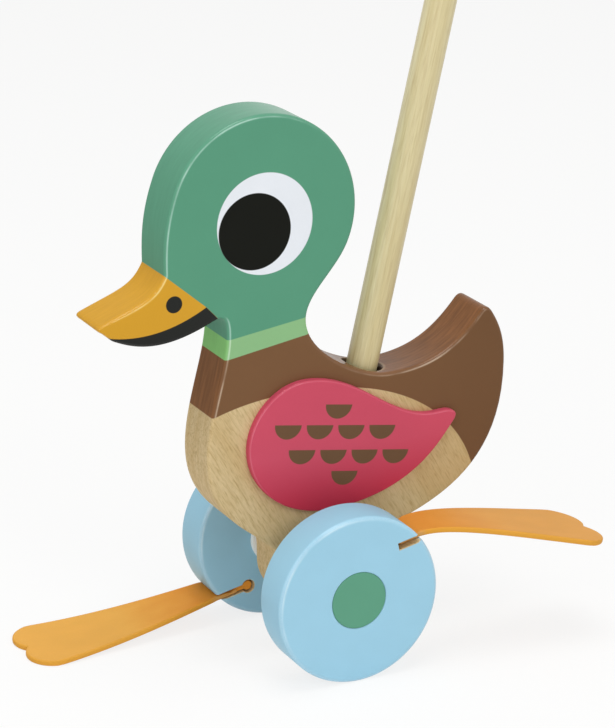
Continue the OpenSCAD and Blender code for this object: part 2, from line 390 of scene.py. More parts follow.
@dataclass
class Plate:
    """A board sawn to an outline, with its edges rounded over.

    Attributes:
        outline: The outline's points (x, z), anticlockwise.
        near: The y of the face at the lower y.
        far: The y of the other face.
        near_round: Radius of the rounding along the near face.
        far_round: Radius of the rounding along the far face.
        wall_rows: Rows of quads across the sawn wall.
    """

    outline: Array
    near: float
    far: float
    near_round: float
    far_round: float
    wall_rows: int = 6

    ROUND_ROWS = 10
    BEND_REACH = 2
    SPAN = range(-8, 9)
    ROUND_SHARE = 0.7
    LEAST_BEND = 1e-4
    # The side whose edges get the pale line, partly a painted highlight: forward and up.
    WEAR_AND_HIGHLIGHT_SIDE = (1.0, -0.75)

    def inward(self) -> Array:
        """The outline's unit normals into the board: its tangents turned left.

        Returns:
            The normals, one in a row.
        """
        way = np.roll(self.outline, -1, axis=0) - np.roll(self.outline, 1, axis=0)
        way = way / np.linalg.norm(way, axis=1, keepdims=True)
        return np.column_stack([-way[:, 1], way[:, 0]])

    def yield_share(self) -> Array:
        """How much of the rounding each outline point can take.

        It is 1, or less where the outline's own radius is small: a share of that radius over the
        rounding, then the least of the neighbours, averaged.

        Returns:
            The shares, one for each point.
        """
        out = np.roll(self.outline, -self.BEND_REACH, axis=0) - self.outline
        back = self.outline - np.roll(self.outline, self.BEND_REACH, axis=0)
        turn = back[:, 0] * out[:, 1] - back[:, 1] * out[:, 0]
        bend = np.arctan2(turn, np.sum(back * out, axis=1))
        length = (np.linalg.norm(out, axis=1) + np.linalg.norm(back, axis=1)) / 2
        widest = max(self.near_round, self.far_round) + FLAT_LIP
        radius = length / np.maximum(bend, self.LEAST_BEND)
        share = np.minimum(1.0, self.ROUND_SHARE * radius / widest)
        share = np.min([np.roll(share, i) for i in self.SPAN], axis=0)
        return np.mean([np.roll(share, i) for i in self.SPAN], axis=0)

    def rows(self) -> Array:
        """The rows of the edge's section: place across, inset, and the edge, wall and lip marks.

        A rounding of radius r lies at inset r (1 - cos a) and r (1 - sin a) below its face.

        Returns:
            The five numbers of each row, from the near face to the far one.
        """
        bend = Rounding(self.ROUND_ROWS)
        marks = (bend.edge, bend.wall, bend.lip)
        near, far = self.near_round, self.far_round
        start = np.column_stack([self.near + near * bend.below, near * bend.inset, *marks])
        stop = np.column_stack([self.far - far * bend.below, far * bend.inset, *marks])[::-1]
        between = np.linspace(start[-1], stop[0], self.wall_rows + 1)[1:-1]
        flat = np.array([0.0, FLAT_LIP, 0.0, 0.0, 0.0])
        return np.vstack([start[:1] + flat, start, between, stop, stop[-1:] + flat])

    def grid(self) -> tuple[Array, dict[str, Array]]:
        """Carries the edge's section round the outline: outline point + inset along its normal.

        The pale-line mark, for thinned paint and a painted highlight, is the lip's, times how far
        the outline there faces forward and up. The sky mark is the wall's, times the square of how
        far it faces up.

        Returns:
            The rings of points, and the marks of their edges, walls, pale line and sky.
        """
        across, inset, edge, wall, lip = self.rows().T[..., None]
        inward = self.inward()
        inset = inset * self.yield_share()
        marks = {
            "edge": np.broadcast_to(edge, inset.shape),
            "wall": np.broadcast_to(wall, inset.shape),
            "wear_and_highlight": lip * np.clip(inward @ np.array(self.WEAR_AND_HIGHLIGHT_SIDE), 0.0, 1.0),
            "sky": wall * np.clip(-inward[:, 1], 0.0, 1.0) ** 2,
        }
        return upright(self.outline + inset[..., None] * inward, across), marks

    def surface(self) -> Surface:
        """The plate as one closed surface."""
        return Surface.from_rings(*self.grid())


class Value:
    """A number on its way through a node tree; arithmetic on it adds Math nodes."""

    def __init__(self, nodes: "Nodes", socket: Socket) -> None:
        """Wraps an output socket of the tree."""
        self.nodes, self.socket = nodes, socket

    def __add__(self, other: Number) -> "Value":
        """The sum."""
        return self.nodes.math("ADD", self, other)

    __radd__ = __add__

    def __sub__(self, other: Number) -> "Value":
        """The difference."""
        return self.nodes.math("SUBTRACT", self, other)

    def __rsub__(self, other: Number) -> "Value":
        """The difference, with this value taken away."""
        return self.nodes.math("SUBTRACT", other, self)

    def __mul__(self, other: Number) -> "Value":
        """The product."""
        return self.nodes.math("MULTIPLY", self, other)

    __rmul__ = __mul__

    def __truediv__(self, other: Number) -> "Value":
        """The quotient."""
        return self.nodes.math("DIVIDE", self, other)

    def __pow__(self, other: Number) -> "Value":
        """The power."""
        return self.nodes.math("POWER", self, other)

    def __abs__(self) -> "Value":
        """The size without its sign."""
        return self.nodes.math("ABSOLUTE", self)

    def __and__(self, other: Number) -> "Value":
        """The smaller of two masks, where both hold."""
        return self.nodes.math("MINIMUM", self, other)

    def __or__(self, other: Number) -> "Value":
        """The larger of two masks, where either holds."""
        return self.nodes.math("MAXIMUM", self, other)

    def root(self) -> "Value":
        """The square root."""
        return self.nodes.math("SQRT", self)

    def rounded(self) -> "Value":
        """The nearest whole number."""
        return self.nodes.math("ROUND", self)

    def clamp(self, low: float, high: float) -> "Value":
        """The share of the way from low to high, from 0 to 1."""
        span = high - low
        return self.nodes.math("MULTIPLY_ADD", self, 1 / span, -low / span, clamp=True)

    def inside(self, soft: float = 0.12) -> "Value":
        """A mask that is 1 where this distance is above 0, and fades over soft on each side."""
        return self.clamp(-soft, soft)


class Nodes:
    """A node tree in the making."""

    def __init__(self, owner: bpy.types.ID) -> None:
        """Clears a node tree.

        Args:
            owner: The material or world that it belongs to.
        """
        owner.use_nodes = True
        self.tree = owner.node_tree
        self.tree.nodes.clear()

    def feed(self, node: bpy.types.Node, inputs: dict[Any, Any]) -> None:
        """Sets or links a node's inputs.

        Args:
            node: The node.
            inputs: A value, socket, tint or number for each input, by name or number.
        """
        for key, given in inputs.items():
            given = given.socket if isinstance(given, Value) else given
            if isinstance(given, Socket):
                self.tree.links.new(given, node.inputs[key])
            else:
                plain = given.rgba if isinstance(given, Tint) else given
                node.inputs[key].default_value = plain

    def node(self, kind: str, settings: dict[str, Any] | None = None,
             inputs: dict[Any, Any] | None = None) -> bpy.types.Node:
        """Adds any node.

        Args:
            kind: The node's type.
            settings: Its properties, which are set first.
            inputs: A value, socket, tint or number for each input, by name or number.

        Returns:
            The node.
        """
        made = self.tree.nodes.new(kind)
        for key, setting in (settings or {}).items():
            setattr(made, key, setting)
        self.feed(made, inputs or {})
        return made

    def math(self, operation: str, *terms: Number, clamp: bool = False) -> Value:
        """Adds a Math node on up to three terms and returns its result."""
        settings = {"operation": operation, "use_clamp": clamp}
        return Value(self, self.node("ShaderNodeMath", settings, dict(enumerate(terms))).outputs[0])

    def seen(self) -> Value:
        """A mask of the rays that show the surroundings.

        Returns:
            1 for the camera's own rays and for reflected and passed ones.
        """
        path = self.node("ShaderNodeLightPath").outputs
        kinds = ("Is Camera Ray", "Is Glossy Ray", "Is Transmission Ray")
        camera, glossy, passed = (Value(self, path[kind]) for kind in kinds)
        return camera | glossy | passed


@dataclass(frozen=True)
class Pattern:
    """Noise that is stretched over a piece.

    Attributes:
        cells: Cells to a millimetre along each of three directions.
        shift: By how many cells it is moved along the third one.
        detail: How many finer layers it has.
        rough: How strong these are.
    """

    cells: tuple[float, float, float]
    shift: float = 0.0
    detail: float = 2.0
    rough: float = 0.5


class Shader(Nodes):
    """A piece's material in the making, with one main shader."""

    # The sockets that a Mix node uses for colours.
    MIX_SHARE, MIX_UNDER, MIX_OVER, MIXED = 0, 6, 7, 2

    def __init__(self, name: str) -> None:
        """Makes the material, empty but for its main shader and output.

        Args:
            name: The material's name.
        """
        self.material = bpy.data.materials.new(name)
        super().__init__(self.material)
        self.main = self.node("ShaderNodeBsdfPrincipled")
        self.node("ShaderNodeOutputMaterial", {}, {"Surface": self.main.outputs[0]})

    def split(self, vector: Socket) -> list[Value]:
        """A vector's three parts."""
        parts = self.node("ShaderNodeSeparateXYZ", {}, {0: vector}).outputs
        return [Value(self, part) for part in parts]

    def place(self) -> tuple[Value, Value, Value]:
        """The point's own place in millimetres, with its height counted from the axle."""
        x, y, z = self.split(self.node("ShaderNodeTexCoord").outputs["Object"])
        return x / MM, y / MM, z / MM - AXLE_HEIGHT

    def attribute(self, name: str, output: str) -> Socket:
        """An output of what is kept at the mesh's points by this name."""
        return self.node("ShaderNodeAttribute", {"attribute_name": name}).outputs[output]

    def mark(self, name: str) -> Value:
        """A number kept at the mesh's points."""
        return Value(self, self.attribute(name, "Fac"))

    def noise(self, pattern: Pattern, place: Sequence[Number]) -> Value:
        """Noise from 0 to 1 about 0.5.

        Args:
            pattern: Its cells and layers.
            place: The place that it follows, in millimetres.

        Returns:
            The noise.
        """
        cells = [part * scale for part, scale in zip(place, pattern.cells)]
        if pattern.shift:
            cells[2] = cells[2] + pattern.shift
        vector = self.node("ShaderNodeCombineXYZ", {}, dict(enumerate(cells))).outputs[0]
        inputs = {"Vector": vector, "Scale": 1.0, "Detail": pattern.detail,
                  "Roughness": pattern.rough}
        return Value(self, self.node("ShaderNodeTexNoise", {}, inputs).outputs[0])

    def mix(self, share: Number, under: Colour, over: Colour, blend: str = "MIX") -> Socket:
        """Mixes two colours.

        Args:
            share: How much of the upper colour shows.
            under: The lower colour.
            over: The upper colour.
            blend: The way of mixing.

        Returns:
            The mixed colour.
        """
        settings = {"data_type": "RGBA", "blend_type": blend}
        inputs = {self.MIX_SHARE: share, self.MIX_UNDER: under, self.MIX_OVER: over}
        return self.node("ShaderNodeMix", settings, inputs).outputs[self.MIXED]

    def shade(self, colour: Colour, amount: Value) -> Socket:
        """Multiplies a colour by a grey of this amount."""
        grey = self.node("ShaderNodeCombineColor", {}, {0: amount, 1: amount, 2: amount})
        return self.mix(1.0, colour, grey.outputs[0], "MULTIPLY")

    def finish(self, height: Value, depth: float, **inputs: Any) -> None:
        """Feeds the main shader.

        Args:
            height: The surface's relief, about 0 to 1.
            depth: How many millimetres of relief a height of 1 is.
            inputs: A value, socket or number for each other input, with _ for a space.
        """
        bump = {"Strength": 1.0, "Distance": depth * MM, "Height": height}
        given = {key.replace("_", " "): what for key, what in inputs.items()}
        given["Normal"] = self.node("ShaderNodeBump", {}, bump).outputs[0]
        self.feed(self.main, given)


def distance(x: Value, z: Value, centre: Point) -> Value:
    """How far a place is from a centre, in the plane of the board."""
    return ((x - centre[0]) ** 2.0 + (z - centre[1]) ** 2.0).root()


def above(x: Value, z: Value, start: Point, stop: Point) -> Value:
    """How far a place lies above a line.

    Args:
        x: The place along the duck.
        z: Its height.
        start: A point of the line.
        stop: Another one, further towards +x.

    Returns:
        The distance, below 0 under the line.
    """
    run, rise = stop[0] - start[0], stop[1] - start[1]
    length = math.hypot(run, rise)
    return x * (-rise / length) + z * (run / length) + (rise * start[0] - run * start[1]) / length


def leaning(x: Value, z: Value, lean: float) -> tuple[Value, Value]:
    """A place in a frame that leans back from upright.

    Args:
        x: The place along the duck.
        z: Its height.
        lean: The lean, in degrees.

    Returns:
        The place along the leaning line, and the place across it.
    """
    tilt = math.radians(lean)
    along = x * math.sin(tilt) + z * math.cos(tilt)
    return along, x * math.cos(tilt) - z * math.sin(tilt)


@dataclass(frozen=True)
class Wood:
    """Bare wood: growth layers, long streaks and short dark flecks along the grain, fine pores.

    Attributes:
        light: Its palest colour.
        middle: The colour of its darker layers.
        fleck: The colour of its streaks and flecks.
    """

    light: Tint
    middle: Tint
    fleck: Tint

    LAYERS = Pattern((0.07, 0.5, 0.02), detail=3.0)
    LAYER_SPAN = (0.3, 0.7)
    STREAKS = Pattern((1.2, 0.8, 0.05), 11.0, 3.0, 0.65)
    STREAK_SPAN = (0.5, 0.74)
    STREAK_DEPTH = 0.45
    FLECKS = Pattern((1.5, 1.1, 0.2), 40.0, 2.0, 0.6)
    FLECK_SPAN = (0.5, 0.7)
    FLECK_DEPTH = 0.5
    PORES = Pattern((4.2, 4.2, 0.6), detail=1.0)
    PORE_SHADE = (0.2, 0.9)
    PORE_DEPTH = 0.3

    def lay(self, shader: Shader, along: Value, across: Value,
            third: Value) -> tuple[Socket, Value]:
        """Lays the wood into a material.

        Args:
            shader: The material.
            along: Place along the grain, in millimetres.
            across: Place across it, along a growth layer.
            third: Place from layer to layer.

        Returns:
            The colour, and the relief.
        """
        place = (across, third, along)
        layers = shader.noise(self.LAYERS, place).clamp(*self.LAYER_SPAN)
        streaks = shader.noise(self.STREAKS, place).clamp(*self.STREAK_SPAN)
        flecks = shader.noise(self.FLECKS, place).clamp(*self.FLECK_SPAN)
        pores = shader.noise(self.PORES, place)
        colour = shader.mix(layers, self.light, self.middle)
        colour = shader.mix(streaks * self.STREAK_DEPTH, colour, self.fleck)
        colour = shader.mix(flecks * self.FLECK_DEPTH, colour, self.fleck)
        colour = shader.shade(colour, pores * self.PORE_SHADE[0] + self.PORE_SHADE[1])
        return colour, 1.0 - flecks * self.FLECK_DEPTH - pores * self.PORE_DEPTH


BEECH = Wood(Tint.BEECH_LIGHT, Tint.BEECH_MID, Tint.BEECH_FLECK)
ROD_BEECH = Wood(Tint.ROD_LIGHT, Tint.ROD_MID, Tint.ROD_STREAK)


@dataclass(frozen=True)
class Finish:
    """What a piece is finished with.

    Attributes:
        name: The material's name.
        roughness: How rough its gloss is.
    """

    name: str
    roughness: float

    def material(self) -> bpy.types.Material:
        """The material, made when it is first asked for.

        Returns:
            The material.
        """
        known = bpy.data.materials.get(self.name)
        if known is None:
            shader = Shader(self.name)
            self.paint(shader)
            known = shader.material
        return known

    def paint(self, shader: Shader) -> None:
        """Lays the finish into the material."""
        raise NotImplementedError


@dataclass(frozen=True)
class Paint(Finish):
    """Satin paint under a thin clear coat, with a pale line along edges that face forward and
    up: thinned paint, and a painted highlight.

    Attributes:
        coat: The weight of the clear coat on it.
        wear_and_highlight: How strong the pale edge line is: thinned paint, and a painted
            highlight.
    """

    coat: float = 0.06
    wear_and_highlight: float = 0.95

    SHADES = (0.08, 0.04, 0.94)
    WEAR_AND_HIGHLIGHT_PALENESS = 0.45
    WEAR_AND_HIGHLIGHT_LIP = (0.0, 0.7)
    WEAR_AND_HIGHLIGHT_SPAN = (0.34, 0.58)
    BARE_ROUGHNESS = 0.2
    SPECK_ROUGHNESS = 0.08
    SPECK_RELIEF = 0.3
    RELIEF = 0.03
    COAT_ROUGHNESS = 0.1
    SPECULAR = 0.02

    def shades(self, cloud: Value, speck: Value) -> Value:
        """How light the paint is from place to place: a share of each noise, and a level."""
        return cloud * self.SHADES[0] + speck * self.SHADES[1] + self.SHADES[2]

    def rubbed_and_highlit(self, shader: Shader, colour: Socket, cloud: Value) -> Socket:
        """Paints a pale line on forward and upward edges: thinned paint and a painted highlight.

        Args:
            shader: The material.
            colour: The paint's colour.
            cloud: Noise that breaks the pale line up.

        Returns:
            The colour, paler along those edges.
        """
        pale = shader.node("ShaderNodeGamma", {}, {0: colour, 1: self.WEAR_AND_HIGHLIGHT_PALENESS}).outputs[0]
        # Painted highlight with thinned paint: a paler copy of the colour on the marked lip.
        worn_and_lit = shader.mark("wear_and_highlight").clamp(*self.WEAR_AND_HIGHLIGHT_LIP) * cloud.clamp(*self.WEAR_AND_HIGHLIGHT_SPAN)
        return shader.mix(worn_and_lit * self.wear_and_highlight, colour, pale)

    def coated(self, shader: Shader, colour: Socket, speck: Value, relief: Value, polish: Value,
               bare: Number = 0.0) -> None:
        """Feeds the main shader, with a thicker coat where the paint is polished.

        Args:
            shader: The material.
            colour: The finished colour.
            speck: Noise that makes the gloss uneven.
            relief: The surface's relief.
            polish: How polished it is, from 0 to 1.
            bare: A mask of bare wood, which is rougher.
        """
        level = self.roughness - self.SPECK_ROUGHNESS / 2
        rough = speck * self.SPECK_ROUGHNESS + (bare * self.BARE_ROUGHNESS + level)
        shader.finish(relief, self.RELIEF, Base_Color=colour, Roughness=rough,
                      Coat_Weight=polish * (1.0 - self.coat) + self.coat,
                      Coat_Roughness=self.COAT_ROUGHNESS, Specular_IOR_Level=self.SPECULAR)


@dataclass(frozen=True)
class DuckPaint(Paint):
    """The duck board's paint: green head, collar, bill and eye over brown, and a bare belly.

    Lines are given by two points, discs by centre, radius and tint, the mouth by its height,
    slope, bend and middle, and the belly by its centre, half width, half height and power.
    """

    COLLAR_TOP = ((-36.3, 97.5), (-6.2, 101.8))
    COLLAR_FOOT = ((-37.1, 89.9), (-4.7, 95.2))
    CHEEK = (((-62.2, 125.3), (-45.9, 111.4)), ((-45.9, 111.4), (-40.8, 105.9)))
    BILL_BACK = -40.9
    BILL_FLOOR = 96.0
    MOUTH = (104.33, 0.1497, 0.01019, -66.0)
    EYE = ((-22.2, 139.9), 19.2, Tint.EYE_WHITE)
    PUPIL = ((-26.3, 137.4), 14.5, Tint.PUPIL_BLACK)
    NOSTRIL = ((-58.7, 114.2), 3.2, Tint.MOUTH_BLACK)
    BELLY = ((-8.0, 16.0), 76.0, 57.1, 2.2)
    GRAIN = (0.5, -0.866)
    HOLE = 8.0
    HOLE_RING = 0.9
    HOLE_RING_DEPTH = 0.3
    HOLE_RING_SOFT = 0.5
    HOLE_SOFT = 0.4

    CLOUD = Pattern((0.05, 0.05, 0.05), detail=3.0)
    SPECK = Pattern((2.2, 2.2, 2.2))
    STREAK = Pattern((0.1, 0.8, 0.03))
    STREAK_MIDDLE = 0.5
    BROWN_STREAK = 0.7
    WALL_STREAK = 0.2
    WALL_BROWN_SHADE = 0.8
    # Painted shade towards the tail, on the brown face and on the bare wood.
    TAIL_SHADE_RUN = (20.0, 80.0)
    TAIL_SHADE = 0.14
    WOOD_SHADE_RUN = (0.0, 70.0)
    WOOD_SHADE = 0.35
    PAINT_RELIEF = (0.25, 0.2)
    EDGE_POLISH = 0.35
    SKY_POLISH = 0.4
    BILL_DULLING = 0.35

    def belly(self, x: Value, z: Value) -> Value:
        """How far a place lies inside the bare belly, a rounded oval |x/a|^p + |z/b|^p = 1.

        Args:
            x: The place along the duck.
            z: Its height.

        Returns:
            The distance, below 0 outside.
        """
        centre, width, height, power = self.BELLY
        level = abs((x - centre[0]) / width) ** power + abs((z - centre[1]) / height) ** power
        return (1.0 - level ** (1 / power)) * height

    def bill(self, x: Value, z: Value) -> Value:
        """A mask of the bill, in front of the cheek's two lines."""
        low = [0.0 - above(x, z, *line) for line in self.CHEEK]
        return (low[0] & low[1] & (self.BILL_BACK - x) & (z - self.BILL_FLOOR)).inside()

    def mouth(self, x: Value, z: Value) -> Value:
        """How far a place lies below the mouth's line, a parabola along the bill.

        Args:
            x: The place along the duck.
            z: Its height.

        Returns:
            The distance, below 0 above the line.
        """
        height, slope, bend, middle = self.MOUTH
        run = x - middle
        return run * slope + run * run * bend + height - z

    def hole(self, x: Value, y: Value, z: Value) -> Value:
        """How far a place lies inside the rod's hole.

        Args:
            x: The place along the duck.
            y: Its place across.
            z: Its height.

        Returns:
            The distance, below 0 outside the hole and away from the back.
        """
        along, across = leaning(x - ROD_FOOT[0], z - ROD_FOOT[1], ROD_TILT)
        away = (across ** 2.0 + y ** 2.0).root()
        return (self.HOLE - away) & (HOLE_REACH - abs(along))

    def zones(self, shader: Shader, x: Value, z: Value, wall: Value, streak: Value,
              bill: Value) -> Socket:
        """Paints the brown, then the collar, head, bill, mouth, eye and nostril over it.

        Args:
            shader: The material.
            x: The place along the duck.
            z: Its height.
            wall: The mark of the sawn wall.
            streak: Noise along the grain, less its middle.
            bill: The bill's mask.

        Returns:
            The colour.
        """
        # Painted shade: the sawn walls get a darker, deeper copy of the brown.
        brown = shader.mix(wall * self.WALL_BROWN_SHADE, Tint.BROWN, Tint.BROWN_SHADED)
        brown = shader.shade(brown, streak * wall * self.BROWN_STREAK + 1.0)
        # Painted shade: the brown face darkens towards the tail.
        tail = x.clamp(*self.TAIL_SHADE_RUN) * (1.0 - wall)
        brown = shader.shade(brown, 1.0 - tail * self.TAIL_SHADE)
        # Painted shade: the collar's walls get a deeper copy of its green.
        collar = shader.mix(wall, Tint.COLLAR_GREEN, Tint.COLLAR_SHADED)
        colour = shader.mix(above(x, z, *self.COLLAR_FOOT).inside(), brown, collar)
        colour = shader.mix(above(x, z, *self.COLLAR_TOP).inside(), colour, Tint.HEAD_GREEN)
        colour = shader.mix(bill, colour, Tint.BILL_ORANGE)
        colour = shader.mix(bill & self.mouth(x, z).inside(), colour, Tint.MOUTH_BLACK)
        for centre, radius, tint in (self.EYE, self.PUPIL, self.NOSTRIL):
            colour = shader.mix((radius - distance(x, z, centre)).inside(), colour, tint)
        return colour

    def paint(self, shader: Shader) -> None:
        """Lays the zones, the pale edge line of thinned paint and painted highlight, the bare
        belly, the painted shadow in the rod's hole, the gloss and the relief.

        Args:
            shader: The material.
        """
        x, y, z = place = shader.place()
        wall = shader.mark("wall")
        along = x * self.GRAIN[0] + z * self.GRAIN[1]
        across = z * self.GRAIN[0] - x * self.GRAIN[1]
        cloud, speck = shader.noise(self.CLOUD, place), shader.noise(self.SPECK, place)
        streak = shader.noise(self.STREAK, (across, y, along))
        uneven = streak - self.STREAK_MIDDLE
        bare, bill = self.belly(x, z).inside(), self.bill(x, z)
        wood, grain = BEECH.lay(shader, along, across, y)
        # Painted shade: the bare wood darkens towards the rear.
        wood = shader.mix(x.clamp(*self.WOOD_SHADE_RUN) * self.WOOD_SHADE, wood, BEECH.fleck)
        colour = self.zones(shader, x, z, wall, uneven, bill)
        shades = self.shades(cloud, speck) + uneven * wall * self.WALL_STREAK
        colour = self.rubbed_and_highlit(shader, shader.shade(colour, shades), cloud)
        colour = shader.mix(bare, colour, wood)
        hole = self.hole(x, y, z)
        ring = (hole + self.HOLE_RING).inside(self.HOLE_RING_SOFT)
        colour = shader.mix(ring * self.HOLE_RING_DEPTH, colour, BEECH.light)
        # Painted shadow: the rod's hole is filled with near-black brown.
        colour = shader.mix(hole.inside(self.HOLE_SOFT), colour, Tint.HOLE_SHADOW)
        relief = speck * self.PAINT_RELIEF[0] + streak * self.PAINT_RELIEF[1] + bare * grain
        sky = shader.mark("sky") * (self.SKY_POLISH - bill * self.BILL_DULLING)
        polish = (shader.mark("edge") * self.EDGE_POLISH + sky) * (1.0 - bare)
        self.coated(shader, colour, speck, relief, polish, bare)


@dataclass(frozen=True)
class WingPaint(Paint):
    """A wing's pink paint, printed with rows of half-discs that hang from their flat sides.

    Each row is given by its first half-disc's centre, in the rows' own leaning frame, and by how
    many it has.
    """

    LEAN = 8.9
    PITCH = 13.33
    RADIUS = 5.6
    ROWS = ((-3.63, 66.91, 1), (-23.74, 58.78, 4), (-16.48, 49.0, 4), (2.85, 40.61, 1))

    CLOUD = Pattern((0.06, 0.06, 0.06), detail=3.0)
    SPECK = Pattern((2.4, 2.4, 2.4))
    SHADES = (0.1, 0.05, 0.92)
    # Painted shade: below this height the pink turns deeper and darker.
    SHADE_BELOW = 46.0
    SHADE_CLOUD = 6.0
    SHADE_RUN = (0.0, 22.0)
    SHADE_SHARE = 0.8
    EDGE_POLISH = 0.35

    def half_discs(self, x: Value, z: Value) -> Value:
        """A mask of the printed rows: each row repeats a half-disc at the pitch.

        Args:
            x: The place along the duck.
            z: Its height.

        Returns:
            The mask.
        """
        height, run = leaning(x, z, self.LEAN)
        mask: Number = 0.0
        for first, top, count in self.ROWS:
            turn = ((run - first) / self.PITCH).rounded() | 0.0
            step = run - first - (turn & (count - 1.0)) * self.PITCH
            rise = height - top
            reach = self.RADIUS - (step ** 2.0 + rise ** 2.0).root()
            mask = (reach & (0.0 - rise)).inside() | mask
        return mask

    def paint(self, shader: Shader) -> None:
        """Lays the pink with painted shade towards its lower edge, the half-discs, the pale edge
        line of thinned paint and painted highlight, and a fine relief.

        Args:
            shader: The material.
        """
        x, _, z = place = shader.place()
        cloud, speck = shader.noise(self.CLOUD, place), shader.noise(self.SPECK, place)
        # Painted shade: the pink deepens towards the wing's lower edge.
        painted_shade = (self.SHADE_BELOW - z + cloud * self.SHADE_CLOUD).clamp(*self.SHADE_RUN)
        colour = shader.mix(painted_shade * self.SHADE_SHARE, Tint.WING_PINK, Tint.WING_SHADED)
        colour = shader.mix(self.half_discs(x, z), colour, Tint.DISC_BROWN)
        colour = self.rubbed_and_highlit(shader, shader.shade(colour, self.shades(cloud, speck)), cloud)
        polish = shader.mark("edge") * self.EDGE_POLISH
        self.coated(shader, colour, speck, speck * self.SPECK_RELIEF, polish)


@dataclass(frozen=True)
class WheelPaint(Paint):
    """Plain paint on a turned piece, whitish and paler at its edges as painted highlight and
    thinned paint, with bare wood in the saw cut.

    Attributes:
        tint: Its colour.
    """

    tint: Tint = Tint.WHEEL_BLUE

    CLOUD = Pattern((0.07, 0.07, 0.07), 9.0, 3.0)
    SPECK = Pattern((2.0, 2.0, 2.0))
    CHALK_AND_HIGHLIGHT_EDGE = (0.6, 1.0)
    CHALK_AND_HIGHLIGHT_SPAN = (0.3, 0.6)
    CHALK_AND_HIGHLIGHT = 0.12

    def paint(self, shader: Shader) -> None:
        """Lays the colour, its clouding, the whitish and pale edge lines, painted highlight and
        thinned paint, and the saw cut.

        Args:
            shader: The material.
        """
        x, y, z = place = shader.place()
        edge, cut = shader.mark("edge"), shader.mark("kerf")
        cloud, speck = shader.noise(self.CLOUD, place), shader.noise(self.SPECK, place)
        colour = shader.shade(self.tint, self.shades(cloud, speck))
        # Whitish edges all round: a painted highlight, with chalky thinned paint.
        chalk_and_highlight = edge.clamp(*self.CHALK_AND_HIGHLIGHT_EDGE) * speck.clamp(*self.CHALK_AND_HIGHLIGHT_SPAN)
        colour = shader.mix(chalk_and_highlight * self.CHALK_AND_HIGHLIGHT, colour, Tint.EYE_WHITE)
        colour = self.rubbed_and_highlit(shader, colour, cloud)
        wood, grain = BEECH.lay(shader, y, x, z)
        colour = shader.mix(cut, colour, wood)
        relief = speck * self.SPECK_RELIEF + grain * cut
        self.coated(shader, colour, speck, relief, edge, cut)


@dataclass(frozen=True)
class Dowel(Finish):
    """Sanded wood with its grain along a leaning line of the board's plane, or across the duck.

    Attributes:
        coat: The weight of the clear coat on it.
        lean: How far the line leans back, in degrees.
        across_duck: Whether the grain runs across the duck instead.
        wood: The wood.
    """

    coat: float = 0.0
    lean: float = 0.0
    across_duck: bool = False
    wood: Wood = ROD_BEECH

    STRETCH = 0.35
    GRAIN_GLOSS = 0.06
    RELIEF = 0.04

    def paint(self, shader: Shader) -> None:
        """Lays long bands and flecks along the grain.

        Args:
            shader: The material.
        """
        x, y, z = shader.place()
        along, across = leaning(x, z, self.lean)
        along, third = (y, along) if self.across_duck else (along, y)
        colour, grain = self.wood.lay(shader, along * self.STRETCH, across, third)
        rough = self.roughness - grain * self.GRAIN_GLOSS
        shader.finish(grain, self.RELIEF, Base_Color=colour, Roughness=rough,
                      Coat_Weight=self.coat)


@dataclass(frozen=True)
class Leather(Finish):
    """A foot's strap: orange leather, deeper in colour at the wheel and bright at its cut edges.

    Attributes:
        top: The colour of its free length.
        root: The colour at the wheel.
    """

    top: Tint = Tint.LEATHER_TOP
    root: Tint = Tint.LEATHER_ROOT

    CLOUD = Pattern((0.06, 0.09, 0.0), 3.0, 3.0)
    GRAIN = Pattern((1.7, 1.7, 0.0), 5.0, 3.0, 0.6)
    FADE_CLOUD = (0.3, -0.15)
    FADE_RUN = (0.06, 0.5)
    SHADES = (0.14, 0.1, 0.88)
    RAW_RUN = (0.0, 0.03)
    CUT_SHARE = 0.85
    GRAIN_ROUGHNESS = 0.16
    RELIEF = 0.08
    SPECULAR = 0.05

    def paint(self, shader: Shader) -> None:
        """Lays the colour by how far out the strap is, with a fine grain that bends with it.

        Args:
            shader: The material.
        """
        along, across, _ = shader.split(shader.attribute("flat", "Vector"))
        reach, edge = shader.mark("reach"), shader.mark("edge")
        cloud = shader.noise(self.CLOUD, (along, across, 0.0))
        grain = shader.noise(self.GRAIN, (along, across, 0.0))
        fade = (reach + cloud * self.FADE_CLOUD[0] + self.FADE_CLOUD[1]).clamp(*self.FADE_RUN)
        colour = shader.mix(fade, self.root, self.top)
        shades = cloud * self.SHADES[0] + grain * self.SHADES[1] + self.SHADES[2]
        colour = shader.shade(colour, shades)
        cut_edge = shader.mix(reach.clamp(*self.RAW_RUN), Tint.LEATHER_RAW, Tint.LEATHER_EDGE)
        colour = shader.mix(edge * self.CUT_SHARE, colour, cut_edge)
        rough = grain * self.GRAIN_ROUGHNESS + (self.roughness - self.GRAIN_ROUGHNESS / 2)
        shader.finish(grain, self.RELIEF, Base_Color=colour, Roughness=rough,
                      Specular_IOR_Level=self.SPECULAR)


@dataclass(frozen=True)
class Plastic(Finish):
    """Moulded white plastic with a faint satin grain."""

    SPECK = Pattern((3.0, 3.0, 3.0))
    SHADES = (0.05, 0.97)
    SPECK_ROUGHNESS = 0.1
    RELIEF = 0.01

    def paint(self, shader: Shader) -> None:
        """Lays the colour, a faint unevenness and a fine relief.

        Args:
            shader: The material.
        """
        speck = shader.noise(self.SPECK, shader.place())
        colour = shader.shade(Tint.SPACER_WHITE, speck * self.SHADES[0] + self.SHADES[1])
        rough = speck * self.SPECK_ROUGHNESS + self.roughness
        shader.finish(speck, self.RELIEF, Base_Color=colour, Roughness=rough)


